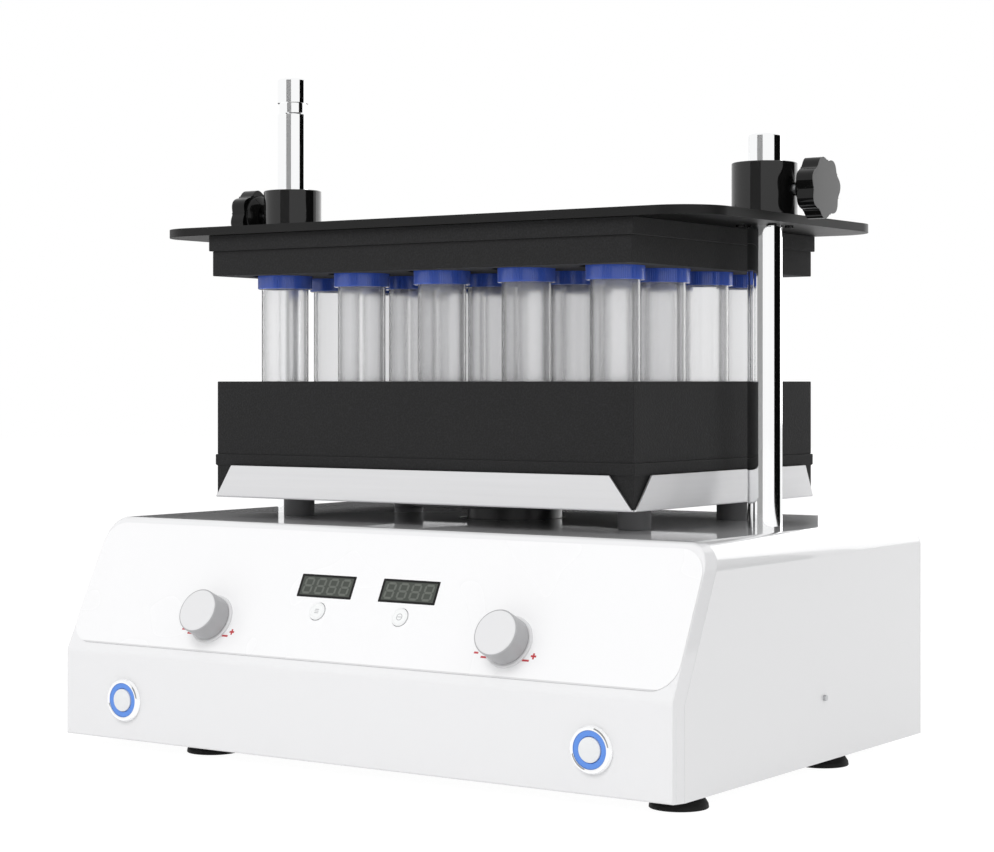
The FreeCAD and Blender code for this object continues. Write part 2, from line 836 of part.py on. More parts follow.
def make_button(name, side):
    """The pressed part: a disc that slides inside the light ring."""
    face = front_rod(name, dim.button_radius, dim.bezel_height + 0.4,
                     dim.barrel_length / 2 - dim.button_travel - 0.5, side)
    return group(name + "_solid", face)


def make_chassis_plate():
    """Steel plate under the deck that carries the posts, the rubber mounts and the drive."""
    top = case_top - dim.cover_sheet
    span = (top - dim.chassis_thickness, top)
    plate = slab("chassis_plate_form", 2 * (post_x + dim.chassis_overhang), dim.chassis_depth,
                 span, number(10), 0, dim.drive_y)
    through = (span[0] - 1, span[1] + 1)
    tools = [rod("chassis_drive_hole", dim.chassis_hole_radius, through, 0, dim.drive_y)]
    tools += [rod("chassis_post_screw_hole", dim.screw_shank_radius * 2, through,
                  side * post_x, dim.drive_y) for side in (-1, 1)]
    tools += [rod("chassis_stud_hole", dim.mount_radius / 3, through, x, y)
              for x, y in four_places(dim.mount_x, dim.mount_y, dim.drive_y)]
    return cut("chassis_plate", plate, *tools)


def make_chassis_pillars():
    """Pillars that carry the chassis plate on the bottom pan."""
    span = (dim.foot_height + dim.pan_sheet, case_top - dim.cover_sheet - dim.chassis_thickness)
    return group("chassis_pillars", *[
        rod("chassis_pillar", dim.pillar_radius, span, x, y)
        for x, y in four_places(post_x - dim.pillar_inset, dim.pillar_y, dim.drive_y)])


def make_post(name, side, length):
    """Chromed guide post, turned on one lathe profile: chamfered top and a stop groove."""
    body = body_of(name)
    sketch = sketch_on(body, "XZ_Plane")
    foot = case_top - dim.cover_sheet
    top = case_top + length
    groove_low = top - dim.groove_from_top
    groove_high = groove_low + dim.groove_width
    waist = dim.post_radius - dim.groove_depth
    edge = number(1)
    draw_outline(sketch, [
        (number(0), foot), (dim.post_radius, foot), (dim.post_radius, groove_low),
        (waist, groove_low + dim.groove_depth), (waist, groove_high),
        (dim.post_radius, groove_high), (dim.post_radius, top - edge),
        (dim.post_radius - edge, top), (number(0), top)])
    turned = body.newObject("PartDesign::Revolution", name + "_turned")
    turned.Profile = sketch
    turned.ReferenceAxis = (sketch, ["V_Axis"])
    turned.Angle = 360
    doc.recompute()
    return put(body, side * post_x, dim.drive_y, 0)


def make_post_screws():
    """Screws and washers that pull the posts down from below."""
    pieces = []
    under = case_top - dim.cover_sheet - dim.chassis_thickness
    for side in (-1, 1):
        x = side * post_x
        washer = rod("post_washer", dim.post_radius, (under - 2, under), x, dim.drive_y)
        head = rod("post_screw_head", dim.screw_shank_radius * 3.4, (under - dim.stack_gap, under - 2),
                   x, dim.drive_y)
        shank = rod("post_screw_shank", dim.screw_shank_radius * 2,
                    (under - 3, under + dim.chassis_thickness), x, dim.drive_y)
        pieces.append(fuse("post_screw", washer, head, shank))
    return group("post_screws", *pieces)


def make_vibration_mounts():
    """Round rubber mounts between the deck and the tray."""
    top = tray_bottom - dim.mount_cap_thickness - dim.soft_clearance
    return group("vibration_mounts", *[
        rod("vibration_mount", dim.mount_radius, (case_top, top), x, y)
        for x, y in four_places(dim.mount_x, dim.mount_y, dim.drive_y)])


def make_mount_nuts():
    """Studs and nuts that hold the rubber mounts under the chassis plate."""
    pieces = []
    under = case_top - dim.cover_sheet - dim.chassis_thickness
    for x, y in four_places(dim.mount_x, dim.mount_y, dim.drive_y):
        stud = rod("mount_stud", dim.mount_radius / 3, (under - dim.stud_length, case_top), x, y)
        nut = rod("mount_nut", dim.mount_radius * 0.6, (under - 5, under), x, y)
        pieces.append(fuse("mount_stud_nut", stud, nut))
    return group("mount_nuts", *pieces)


# Heights of the drive, counted down from the hub to the motor
hub_bottom = tray_bottom - dim.hub_length
eccentric_top = tray_bottom - dim.hub_flange_thickness - dim.stack_gap
disc_top = hub_bottom - 2
disc_bottom = disc_top - dim.counterweight_height
motor_plate_top = disc_bottom - dim.stack_gap
motor_plate_bottom = motor_plate_top - dim.motor_plate_thickness
motor_bottom = motor_plate_bottom - dim.motor_height


def make_motor():
    """Motor case with end bells, hung under its plate, bored for the shaft."""
    edge = number(3)
    case = rod("motor_case", dim.motor_radius, (motor_bottom + edge, motor_plate_bottom - edge),
               0, dim.drive_y)
    low = cone("motor_low_bell", dim.motor_radius - edge, dim.motor_radius,
               (motor_bottom, motor_bottom + edge), 0, dim.drive_y)
    high = cone("motor_high_bell", dim.motor_radius, dim.motor_radius - edge,
                (motor_plate_bottom - edge, motor_plate_bottom), 0, dim.drive_y)
    bore = rod("motor_bore", dim.motor_shaft_radius + dim.running_clearance,
               (motor_bottom + dim.motor_height / 4, motor_plate_top), 0, dim.drive_y)
    return cut("motor", fuse("motor_solid", case, low, high), bore)


def make_motor_plate():
    """Square plate that carries the motor on four standoffs."""
    span = (motor_plate_bottom, motor_plate_top)
    plate = slab("motor_plate_form", dim.motor_plate_size, dim.motor_plate_size, span, number(8),
                 0, dim.drive_y)
    hole = rod("motor_plate_hole", dim.motor_shaft_radius + 6, (span[0] - 1, span[1] + 1), 0, dim.drive_y)
    return cut("motor_plate", plate, hole)


def make_motor_standoffs():
    """Standoffs between the motor plate and the chassis plate."""
    under = case_top - dim.cover_sheet - dim.chassis_thickness
    half = dim.standoff_pitch / 2
    return group("motor_standoffs", *[
        rod("motor_standoff", dim.standoff_radius, (motor_plate_top, under), x, y)
        for x, y in four_places(half, half, dim.drive_y)])


def make_motor_screws():
    """Screw heads under the motor plate, below each standoff."""
    half = dim.standoff_pitch / 2
    span = (motor_plate_bottom - 4, motor_plate_bottom)
    return group("motor_screws", *[
        rod("motor_screw", dim.screw_head_radius * 1.3, span, x, y)
        for x, y in four_places(half, half, dim.drive_y)])


def make_motor_shaft():
    """Motor shaft, up to the crank disc."""
    return group("motor_shaft_solid", rod(
        "motor_shaft", dim.motor_shaft_radius,
        (motor_bottom + dim.motor_height / 4 + 0.5, disc_bottom), 0, dim.drive_y))


def make_eccentric():
    """Crank disc with an off-centre pin that drives the hub."""
    hub = rod("crank_disc", dim.bearing_outer_radius, (disc_bottom, disc_top), 0, dim.drive_y)
    step = rod("crank_step", dim.bearing_bore_radius + 3, (disc_top - 0.5, disc_top + 4),
               dim.crank_throw, dim.drive_y)
    pin = rod("crank_pin", dim.bearing_bore_radius, (disc_top, eccentric_top), dim.crank_throw, dim.drive_y)
    return fuse("eccentric", hub, step, pin)


def make_counterweight():
    """Half disc on the side away from the crank pin, which balances the tray."""
    disc = rod("counterweight_disc", dim.counterweight_radius, (disc_bottom, disc_top), 0, dim.drive_y)
    reach = dim.counterweight_radius + 1
    away = block("counterweight_cut", (dim.bearing_outer_radius / 3, reach),
                 (dim.drive_y - reach, dim.drive_y + reach), (disc_bottom - 1, disc_top + 1))
    hole = rod("counterweight_hole", dim.bearing_outer_radius, (disc_bottom - 1, disc_top + 1),
               0, dim.drive_y)
    return cut("counterweight", disc, away, hole)


def bearing_spans():
    """The two bearing heights inside the hub."""
    low = disc_top + 4
    high = low + dim.bearing_width + 4
    return [(low, low + dim.bearing_width), (high, high + dim.bearing_width)]


def bearing_rings(name, outer_radius, inner_radius):
    """A ring in each of the two bearing seats."""
    pieces = []
    for span in bearing_spans():
        outer = rod(name + "_form", outer_radius, span, dim.crank_throw, dim.drive_y)
        inner = rod(name + "_hole", inner_radius, (span[0] - 1, span[1] + 1), dim.crank_throw, dim.drive_y)
        pieces.append(cut(name + "_ring", outer, inner))
    return group(name, *pieces)


def make_drive_hub():
    """Hub that hangs from the tray through the deck, with its bearing bore and wide flange."""
    flange = rod("hub_flange", dim.hub_flange_radius,
                 (tray_bottom - dim.hub_flange_thickness, tray_bottom), tray_x, dim.drive_y)
    stem = rod("hub_stem", dim.hub_radius, (hub_bottom, tray_bottom - 1), tray_x, dim.drive_y)
    ceiling = bearing_spans()[1][1] + 1
    bore = rod("hub_bore", dim.bearing_outer_radius, (hub_bottom - 1, ceiling), tray_x, dim.drive_y)
    relief = rod("hub_relief", dim.bearing_bore_radius + 3, (hub_bottom, eccentric_top + 2),
                 tray_x, dim.drive_y)
    return cut("drive_hub", fuse("hub_solid", flange, stem), bore, relief)


def make_tray():
    """Folded sheet tray: a floor and four flaps that lean outwards, with open corners."""
    sheet_top = (dim.tray_width, dim.tray_depth)
    outer = tapered("tray_outer", sheet_top, number(0), dim.flap_height)
    inner_size = (dim.tray_width - 2 * dim.tray_sheet, dim.tray_depth - 2 * dim.tray_sheet)
    inner = tapered("tray_inner", inner_size, dim.tray_sheet, dim.flap_height + dim.tray_sheet)
    corner_x = dim.tray_width / 2
    corner_y = dim.tray_depth / 2
    tip = number(1.5)
    low = dim.tray_sheet * 2
    notches = [cone("corner_notch", tip, dim.notch_width + tip, (low, dim.flap_height + 1),
                    sx * corner_x, sy * corner_y)
               for sx in (-1, 1) for sy in (-1, 1)]
    folded = cut("tray_folded", outer, inner, *notches)
    return put(group("tray", folded), tray_x, dim.drive_y, tray_bottom)


def tapered(name, size, low, high):
    """A four-sided solid that widens with height by the lean of the flaps."""
    body = body_of(name)
    lean = dim.flap_flare / dim.flap_height
    sketches = []
    for height in (low, high):
        sketch = sketch_on(body, "XY_Plane", height)
        half_x = size[0] / 2 + lean * (height - low)
        half_y = size[1] / 2 + lean * (height - low)
        draw_outline(sketch, [(-half_x, -half_y), (half_x, -half_y), (half_x, half_y), (-half_x, half_y)])
        sketches.append(sketch)
    doc.recompute()
    loft = body.newObject("PartDesign::AdditiveLoft", name + "_loft")
    loft.Profile = sketches[0]
    loft.Sections = [sketches[1]]
    loft.Ruled = True
    doc.recompute()
    return body


def hub_screw_places():
    """Six screws on a circle through the tray floor into the hub flange."""
    reach = SIZES["hub_flange_radius"] * 0.8
    return [(tray_x + reach * math.cos(math.radians(60 * i)),
             dim.drive_y + reach * math.sin(math.radians(60 * i))) for i in range(6)]


def make_hub_screws():
    """Low screw heads on the tray floor."""
    floor = tray_bottom + dim.tray_sheet
    return group("hub_screws", *[
        rod("hub_screw", dim.screw_head_radius * 1.3, (floor, floor + 2.5), x, y)
        for x, y in hub_screw_places()])


def make_mount_caps():
    """Steel top plates of the rubber mounts, under the tray."""
    return group("mount_caps", *[
        rod("mount_cap", dim.mount_radius, (tray_bottom - dim.mount_cap_thickness, tray_bottom), x, y)
        for x, y in four_places(dim.mount_x, dim.mount_y, dim.drive_y)])


def inside_tray():
    """The foam's size on the tray floor."""
    less = 2 * dim.tray_sheet + 2 * dim.soft_clearance
    return dim.tray_width - less, dim.tray_depth - less


def make_base_pad():
    """Black foam pad on the tray floor: hollowed below for the hub screws, with a lip over the flaps."""
    width, depth = inside_tray()
    flap_top = tray_bottom + dim.flap_height
    low = slab("base_pad_form", width, depth, (pad_bottom, pad_top), None, tray_x, dim.drive_y)
    lip = slab("base_pad_lip", width + 2 * dim.rack_step, depth + 2 * dim.rack_step,
               (flap_top + dim.soft_clearance, pad_top), None, tray_x, dim.drive_y)
    recess = rod("base_pad_recess", dim.hub_flange_radius * 0.9, (pad_bottom - 1, pad_bottom + 3),
                 tray_x, dim.drive_y)
    return cut("base_pad", fuse("base_pad_whole", low, lip), recess)


def make_foam_rack():
    """Black foam block with a hole for each tube."""
    width, depth = inside_tray()
    form = slab("foam_rack_form", width, depth, (pad_top, rack_top), None, tray_x, dim.drive_y)
    holes = [rod("tube_hole", dim.tube_radius + dim.soft_clearance, (pad_top - 1, rack_top + 1), x, y)
             for x, y in tube_places]
    return cut("foam_rack", form, *holes)


def make_tubes():
    """Twenty conical-bottom tubes, hollow, turned from one profile."""
    body = body_of("tube_profile")
    sketch = sketch_on(body, "XZ_Plane")
    top = dim.tube_length
    wall = dim.tube_wall
    draw_outline(sketch, [
        (number(0), number(0)), (dim.tube_tip_radius, number(0)), (dim.tube_radius, dim.tube_cone),
        (dim.tube_radius, top), (dim.tube_radius - wall, top),
        (dim.tube_radius - wall, dim.tube_cone + wall / 2),
        (dim.tube_tip_radius - wall / 2, wall * 1.5), (number(0), wall * 1.5)])
    turned = body.newObject("PartDesign::Revolution", "tube_turned")
    turned.Profile = sketch
    turned.ReferenceAxis = (sketch, ["V_Axis"])
    turned.Angle = 360
    doc.recompute()
    return copies("tubes", body, tube_bottom)


def make_tube_caps():
    """Twenty screw caps over the tube mouths."""
    body = body_of("cap_profile")
    sketch = sketch_on(body, "XZ_Plane")
    inside = dim.tube_radius + 0.2
    edge = number(0.8)
    skirt = -dim.cap_height + dim.cap_wall
    draw_outline(sketch, [
        (number(0), number(0)), (inside, number(0)), (inside, skirt), (dim.cap_radius, skirt),
        (dim.cap_radius, dim.cap_wall - edge), (dim.cap_radius - edge, dim.cap_wall),
        (number(0), dim.cap_wall)])
    turned = body.newObject("PartDesign::Revolution", "cap_turned")
    turned.Profile = sketch
    turned.ReferenceAxis = (sketch, ["V_Axis"])
    turned.Angle = 360
    doc.recompute()
    return copies("tube_caps", body, tube_bottom + dim.tube_length)


def copies(name, original, height):
    """The same solid at every tube place."""
    links = []
    for x, y in tube_places:
        link = doc.addObject("App::Link", name + "_copy")
        link.LinkedObject = original
        links.append(put(link, x, y, height))
    return group(name, *links)


def press_foam_size():
    """Size of the pocketed foam layer, a little less than the tray."""
    less = 2 * dim.lower_foam_step
    return dim.tray_width - less, dim.tray_depth - less


def make_press_foam_lower():
    """Foam under the press, with a pocket for each cap that leaves room for the tray's circle."""
    form = slab("press_foam_lower_form", *press_foam_size(), (foam_bottom, foam_step), None, 0, dim.drive_y)
    pocket_radius = dim.cap_radius + dim.crank_throw + dim.soft_clearance + 0.2
    pockets = [rod("cap_pocket", pocket_radius, (foam_bottom - 1, cap_top + dim.soft_clearance),
                   x - dim.crank_throw, y) for x, y in tube_places]
    return cut("press_foam_lower", form, *pockets)


def make_press_foam_upper():
    """Wider foam layer between the pocketed layer and the plate."""
    width, depth = press_foam_size()
    wider = 2 * dim.upper_foam_step
    return slab("press_foam_upper", width + wider, depth + wider, (foam_step, plate_bottom), None, 0,
                dim.drive_y)


def make_press_plate():
    """Black plate with round corners that slides on both posts."""
    plate = slab("press_plate_form", 2 * (post_x + dim.plate_overhang),
                 dim.tray_depth + 2 * dim.plate_end_overhang,
                 (plate_bottom, plate_top), dim.plate_corner, 0, dim.drive_y)
    holes = [rod("plate_post_hole", dim.post_radius + 0.5, (plate_bottom - 1, plate_top + 1),
                 side * post_x, dim.drive_y) for side in (-1, 1)]
    return cut("press_plate", plate, *holes)


def make_collar(name, side):
    """Collar on the plate that guides it on its post, bored across for the clamp screw."""
    x = side * post_x
    form = rod(name + "_form", dim.collar_radius, (plate_top, collar_top), x, dim.drive_y)
    bore = rod(name + "_bore", dim.post_radius + dim.running_clearance,
               (plate_top - 1, collar_top + 1), x, dim.drive_y)
    ends = (post_x, post_x + 2 * dim.collar_radius)
    if side < 0:
        ends = (-ends[1], -ends[0])
    across = rod(name + "_across", dim.clamp_screw_radius + dim.running_clearance, ends, 0,
                 dim.drive_y, clamp_z, "X")
    return cut(name, form, bore, across)


def make_collar_screws():
    """Screws that come up through the plate into the collars."""
    pieces = []
    ring = (SIZES["collar_radius"] + SIZES["post_radius"]) / 2
    for side in (-1, 1):
        for turn in (45, 135, 225, 315):
            x = side * post_x + ring * math.cos(math.radians(turn))
            y = dim.drive_y + ring * math.sin(math.radians(turn))
            pieces.append(rod("collar_screw", dim.screw_shank_radius * 1.5,
                              (plate_bottom - 1.2, plate_bottom), x, y))
    return group("collar_screws", *pieces)


def clamp_rod(name, radius, near, far, side):
    """A cylinder on a clamp screw's axis, between two distances from the case's middle."""
    span = (near, far) if side > 0 else (-far, -near)
    return rod(name, radius, span, 0, dim.drive_y, clamp_z, "X")


def make_clamp_knob(name, side):
    """Star knob: lobes round a head, on a boss that stands off the collar, and its steel screw."""
    boss_start = post_x + dim.collar_radius + dim.clamp_knob_gap
    head_start = boss_start + dim.clamp_knob_boss
    head_end = head_start + dim.clamp_knob_head
    lobe_radius = dim.clamp_knob_radius * 0.3
    reach = SIZES["clamp_knob_radius"] * 0.7
    lobes = []
    for i in range(SIZES["clamp_lobes"]):
        turn = math.radians(360 * i / SIZES["clamp_lobes"])
        span = (head_start, head_end) if side > 0 else (-head_end, -head_start)
        lobes.append(rod(name + "_lobe", lobe_radius, span, 0, dim.drive_y + reach * math.cos(turn),
                         clamp_z + reach * math.sin(turn), "X"))
    head = clamp_rod(name + "_head", dim.clamp_knob_radius * 0.84, head_start, head_end, side)
    boss = clamp_rod(name + "_boss", dim.clamp_knob_radius * 0.62, boss_start, head_start + 1, side)
    tip = post_x + dim.post_radius + dim.soft_clearance
    screw = clamp_rod(name + "_screw", dim.clamp_screw_radius, tip, boss_start, side)
    return group(name, fuse(name + "_star", head, boss, *lobes), screw)


def make_power_supply():
    """Mains power supply in its sheet case."""
    low = dim.foot_height + dim.pan_sheet
    return block("power_supply", supply_x, supply_y, (low, low + dim.supply_height))


def make_control_board():
    """Motor control board on the pan."""
    low = dim.foot_height + dim.pan_sheet + dim.board_gap
    return block("control_board", board_x, supply_y, (low, low + dim.board_thickness))


def make_power_inlet():
    """Mains inlet: a flange outside the rear panel and a socket that reaches in."""
    wide = dim.inlet_opening_width / 2
    tall = dim.inlet_opening_height / 2
    edge = dim.inlet_flange_edge
    wall = dim.inlet_wall
    deep = dim.inlet_depth - 10
    body = block("inlet_body", (inlet_x - wide, inlet_x + wide), (half_depth - dim.inlet_depth, half_depth),
                 (inlet_z - tall, inlet_z + tall))
    flange = block("inlet_flange", (inlet_x - wide - edge, inlet_x + wide + edge),
                   (half_depth, half_depth + 3), (inlet_z - tall - 3, inlet_z + tall + 3))
    mouth = block("inlet_mouth", (inlet_x - wide + wall, inlet_x + wide - wall),
                  (half_depth - deep, half_depth + 4), (inlet_z - tall + wall, inlet_z + tall - wall))
    return cut("power_inlet", fuse("inlet_solid", body, flange), mouth)


def make_inlet_pins():
    """Three flat pins inside the socket."""
    pieces = []
    for across, up in ((-7, -1), (0, 3), (7, -1)):
        pieces.append(block("inlet_pin", (inlet_x + across - 1, inlet_x + across + 1),
                            (half_depth - dim.inlet_depth + 10, half_depth - 3),
                            (inlet_z + up - 2, inlet_z + up + 2)))
    return group("inlet_pins", *pieces)


def screw_across(name, side, y, z):
    """A case screw through a side of the cover."""
    head = (half_width, half_width + dim.screw_head_height)
    shank = (half_width - dim.screw_length, half_width)
    if side < 0:
        head = (-head[1], -head[0])
        shank = (-shank[1], -shank[0])
    return fuse(name, rod(name + "_head", dim.screw_head_radius / 2, head, 0, y, z, "X"),
                rod(name + "_shank", dim.screw_shank_radius / 2, shank, 0, y, z, "X"))


def make_case_screws():
    """Small screws that hold the cover to the pan."""
    return group("case_screws", *[
        screw_across("case_screw", side, dim.side_screw_y, dim.foot_height + dim.side_screw_height)
        for side in (-1, 1)])


NODES = {
    "top_cover": make_top_cover(),
    "front_panel": make_front_panel(),
    "rear_panel": make_rear_panel(),
    "bottom_pan": make_bottom_pan(),
    "feet": make_feet(),
    "foot_screws": make_foot_screws(),
    "case_screws": make_case_screws(),
    "panel_overlay": make_panel_overlay(),
    "display_windows": make_display_windows(),
    "display_modules": make_display_modules(),
    "display_board": make_display_board(),
    "board_spacers": make_board_spacers(),
    "encoders": make_encoders(),
    "knob_rings": make_knob_rings(),
    "speed_knob": make_control_knob("speed_knob", -1),
    "time_knob": make_control_knob("time_knob", 1),
    "speed_key": make_key("speed_key", -1),
    "time_key": make_key("time_key", 1),
    "key_switches": make_key_switches(),
    "button_bodies": make_button_bodies(),
    "light_rings": make_light_rings(),
    "button_nuts": make_button_nuts(),
    "power_button": make_button("power_button", -1),
    "start_button": make_button("start_button", 1),
    "chassis_plate": make_chassis_plate(),
    "chassis_pillars": make_chassis_pillars(),
    "left_post": make_post("left_post", -1, dim.left_post_length),
    "right_post": make_post("right_post", 1, dim.right_post_length),
    "post_screws": make_post_screws(),
    "vibration_mounts": make_vibration_mounts(),
    "mount_nuts": make_mount_nuts(),
    "motor": make_motor(),
    "motor_plate": make_motor_plate(),
    "motor_standoffs": make_motor_standoffs(),
    "motor_screws": make_motor_screws(),
    "motor_shaft": make_motor_shaft(),
    "eccentric": make_eccentric(),
    "counterweight": make_counterweight(),
    "bearing_inner_rings": bearing_rings(
        "bearing_inner_rings", dim.bearing_bore_radius + dim.bearing_ring, dim.bearing_bore_radius),
    "bearing_outer_rings": bearing_rings(
        "bearing_outer_rings", dim.bearing_outer_radius,
        dim.bearing_bore_radius + dim.bearing_ring + dim.running_clearance),
    "drive_hub": make_drive_hub(),
    "tray": make_tray(),
    "hub_screws": make_hub_screws(),
    "mount_caps": make_mount_caps(),
    "base_pad": make_base_pad(),
    "foam_rack": make_foam_rack(),
    "tubes": make_tubes(),
    "tube_caps": make_tube_caps(),
    "press_foam_lower": make_press_foam_lower(),
    "press_foam_upper": make_press_foam_upper(),
    "press_plate": make_press_plate(),
    "left_collar": make_collar("left_collar", -1),
    "right_collar": make_collar("right_collar", 1),
    "collar_screws": make_collar_screws(),
    "left_clamp_knob": make_clamp_knob("left_clamp_knob", -1),
    "right_clamp_knob": make_clamp_knob("right_clamp_knob", 1),
    "power_supply": make_power_supply(),
    "control_board": make_control_board(),
    "power_inlet": make_power_inlet(),
    "inlet_pins": make_inlet_pins(),
}

doc.recompute()
for item in doc.Objects:
    if "Invalid" in item.State or "Error" in item.State:
        raise ValueError(f"{item.Name} is {item.State}")
for node, item in NODES.items():
    item.Label = node
    shape = item.Shape
    if shape.isNull() or not shape.isValid():
        raise ValueError(f"{node} has no valid shape")
    shape.exportStep(f"parts/{node}.step")
print(len(NODES), "sub-parts written")
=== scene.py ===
# %% [markdown]
# # A tube mixer, dressed over its CAD frame
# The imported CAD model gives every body, joint and size, in metres. This script keeps that frame, puts a
# finer mesh over each part that shows, and gives all of them node-made finishes. Reading the sizes from the
# frame, and not typing them again, keeps each new piece exactly where the mechanism expects it.
# %% Load the frame
import json
import math

import bmesh
import bpy
from mathutils import Matrix, Vector


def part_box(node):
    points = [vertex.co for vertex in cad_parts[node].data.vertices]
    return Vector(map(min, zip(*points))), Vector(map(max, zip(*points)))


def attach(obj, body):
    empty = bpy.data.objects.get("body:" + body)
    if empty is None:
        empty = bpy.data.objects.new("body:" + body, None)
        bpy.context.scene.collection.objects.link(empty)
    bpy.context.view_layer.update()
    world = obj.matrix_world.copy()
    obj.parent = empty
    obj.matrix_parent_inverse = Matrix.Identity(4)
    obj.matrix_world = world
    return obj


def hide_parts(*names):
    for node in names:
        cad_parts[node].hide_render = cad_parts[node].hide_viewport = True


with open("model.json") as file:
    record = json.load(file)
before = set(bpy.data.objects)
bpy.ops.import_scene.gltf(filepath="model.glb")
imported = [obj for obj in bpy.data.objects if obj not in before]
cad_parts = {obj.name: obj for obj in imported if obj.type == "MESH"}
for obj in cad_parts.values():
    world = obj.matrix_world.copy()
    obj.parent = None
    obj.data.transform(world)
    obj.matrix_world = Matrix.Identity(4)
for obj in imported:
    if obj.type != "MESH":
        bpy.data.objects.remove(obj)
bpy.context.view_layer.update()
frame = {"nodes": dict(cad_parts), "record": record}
MM = 0.001

# %% [markdown]
# ## Reading places from the frame
# A box of a part tells its middle, its size and its ends. One small class gives these by name, so that the
# later cells read like a drawing: `extent("left_post").top`.
# %% Extents of CAD parts
class Extent:
    """Lowest and highest corner of a CAD part, with its middle and its size."""

    def __init__(self, low, high):
        self.low, self.high = Vector(low), Vector(high)
        self.middle = (self.low + self.high) / 2
        self.size = self.high - self.low
        self.bottom, self.top = self.low.z, self.high.z


def extent(node):
    return Extent(*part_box(node))


case = extent("front_panel")
cover = extent("top_cover")
HALF_WIDTH = case.size.x / 2
FRONT = case.low.y
REAR = extent("rear_panel").high.y
CASE_BOTTOM = case.bottom
DECK = cover.top
DRIVE_Y = extent("left_post").middle.y
TRAY_X = extent("tray").middle.x
print("deck height in mm:", round(DECK / MM, 1), "drive axis y in mm:", round(DRIVE_Y / MM, 1))

# %% [markdown]
# ## The slanted face
# The upper part of the front leans back. Everything on it is easier to draw flat, with u across, v up the
# slope and w out of the face, and to lay on the face with one matrix at the end.
# %% Frame of the slanted face
SLOPE_RISE = 82 * MM
SLOPE_RUN = 41 * MM
BEND_HEIGHT = DECK - SLOPE_RISE
SLOPE_LENGTH = math.hypot(SLOPE_RUN, SLOPE_RISE)
UP_Y, UP_Z = SLOPE_RUN / SLOPE_LENGTH, SLOPE_RISE / SLOPE_LENGTH
PANEL = Matrix(((1, 0, 0, 0),
                (0, UP_Y, -UP_Z, FRONT),
                (0, UP_Z, UP_Y, BEND_HEIGHT),
                (0, 0, 0, 1)))
print("lean of the face in degrees:", round(math.degrees(math.atan2(UP_Y, UP_Z)), 1))

# %% [markdown]
# ## Camera
# The photograph was taken with an upright camera: its verticals are parallel. So the camera here stays level
# and the picture is shifted instead of tilted, as with a view camera. The focal length and the place come
# from the corners of the case.
# %% Camera
CAMERA_PLACE = (0.840, -1.214, 0.2313)
CAMERA_TURN = 34.56
lens = bpy.data.cameras.new("Camera")
lens.sensor_width = 36
lens.lens = 83.99
lens.shift_y = -0.0453
camera = bpy.data.objects.new("Camera", lens)
camera.location = CAMERA_PLACE
camera.rotation_euler = (math.radians(90), 0, math.radians(CAMERA_TURN))
bpy.context.scene.collection.objects.link(camera)
bpy.context.scene.camera = camera
print("camera stands", round(Vector(CAMERA_PLACE[:2]).length, 2), "m from the axis")

# %% [markdown]
# ## Node graphs written as expressions
# Both materials and Geometry Nodes are graphs. One method adds any node: its settings first, then the values
# or links of its sockets. Numbers that change over a surface are written as plain arithmetic, and the class
# below turns each operator into a Math node.
# %% Graph helpers
class Value:
    """A socket in a graph that can be used in arithmetic."""

    def __init__(self, graph, socket):
        self.graph, self.socket = graph, socket

    def maths(self, operation, *others):
        inputs = dict(enumerate((self,) + others))
        return self.graph.add("ShaderNodeMath", {"operation": operation}, inputs)

    def __add__(self, other):
        return self.maths("ADD", other)

    def __sub__(self, other):
        return self.maths("SUBTRACT", other)

    def __mul__(self, other):
        return self.maths("MULTIPLY", other)

    def __truediv__(self, other):
        return self.maths("DIVIDE", other)

    def __rsub__(self, other):
        return (self * -1) + other

    __radd__ = __add__
    __rmul__ = __mul__

    def size(self):
        return self.maths("ABSOLUTE")

    def at_least(self, other):
        return self.maths("MAXIMUM", other)

    def at_most(self, other):
        return self.maths("MINIMUM", other)

    def below(self, edge, soft):
        """1 where the value is under an edge, 0 over it, with a soft step between."""
        return ((edge - self) / soft + 0.5).at_least(0).at_most(1)


class Graph:
    """Adds nodes to a tree: settings first, then values or links."""

    def __init__(self, tree):
        self.tree = tree

    def add(self, kind, settings=None, inputs=None, output=0):
        node = self.tree.nodes.new(kind)
        for name, setting in (settings or {}).items():
            setattr(node, name, setting)
        for name, given in (inputs or {}).items():
            if isinstance(given, Value):
                self.tree.links.new(given.socket, node.inputs[name])
            else:
                node.inputs[name].default_value = given
        return Value(self, node.outputs[output]) if len(node.outputs) else None

    def blend(self, factor, first, second):
        """Mix two colours."""
        inputs = {0: factor, 6: first, 7: second}
        return self.add("ShaderNodeMix", {"data_type": "RGBA"}, inputs, output=2)

    def seen_directly(self):
        """1 for rays from the camera, off a mirror or through glass, else 0."""
        path = self.tree.nodes.new("ShaderNodeLightPath")
        rays = [Value(self, path.outputs[name])
                for name in ("Is Camera Ray", "Is Glossy Ray", "Is Transmission Ray")]
        return rays[0].at_least(rays[1]).at_least(rays[2])


print("graph helpers ready")

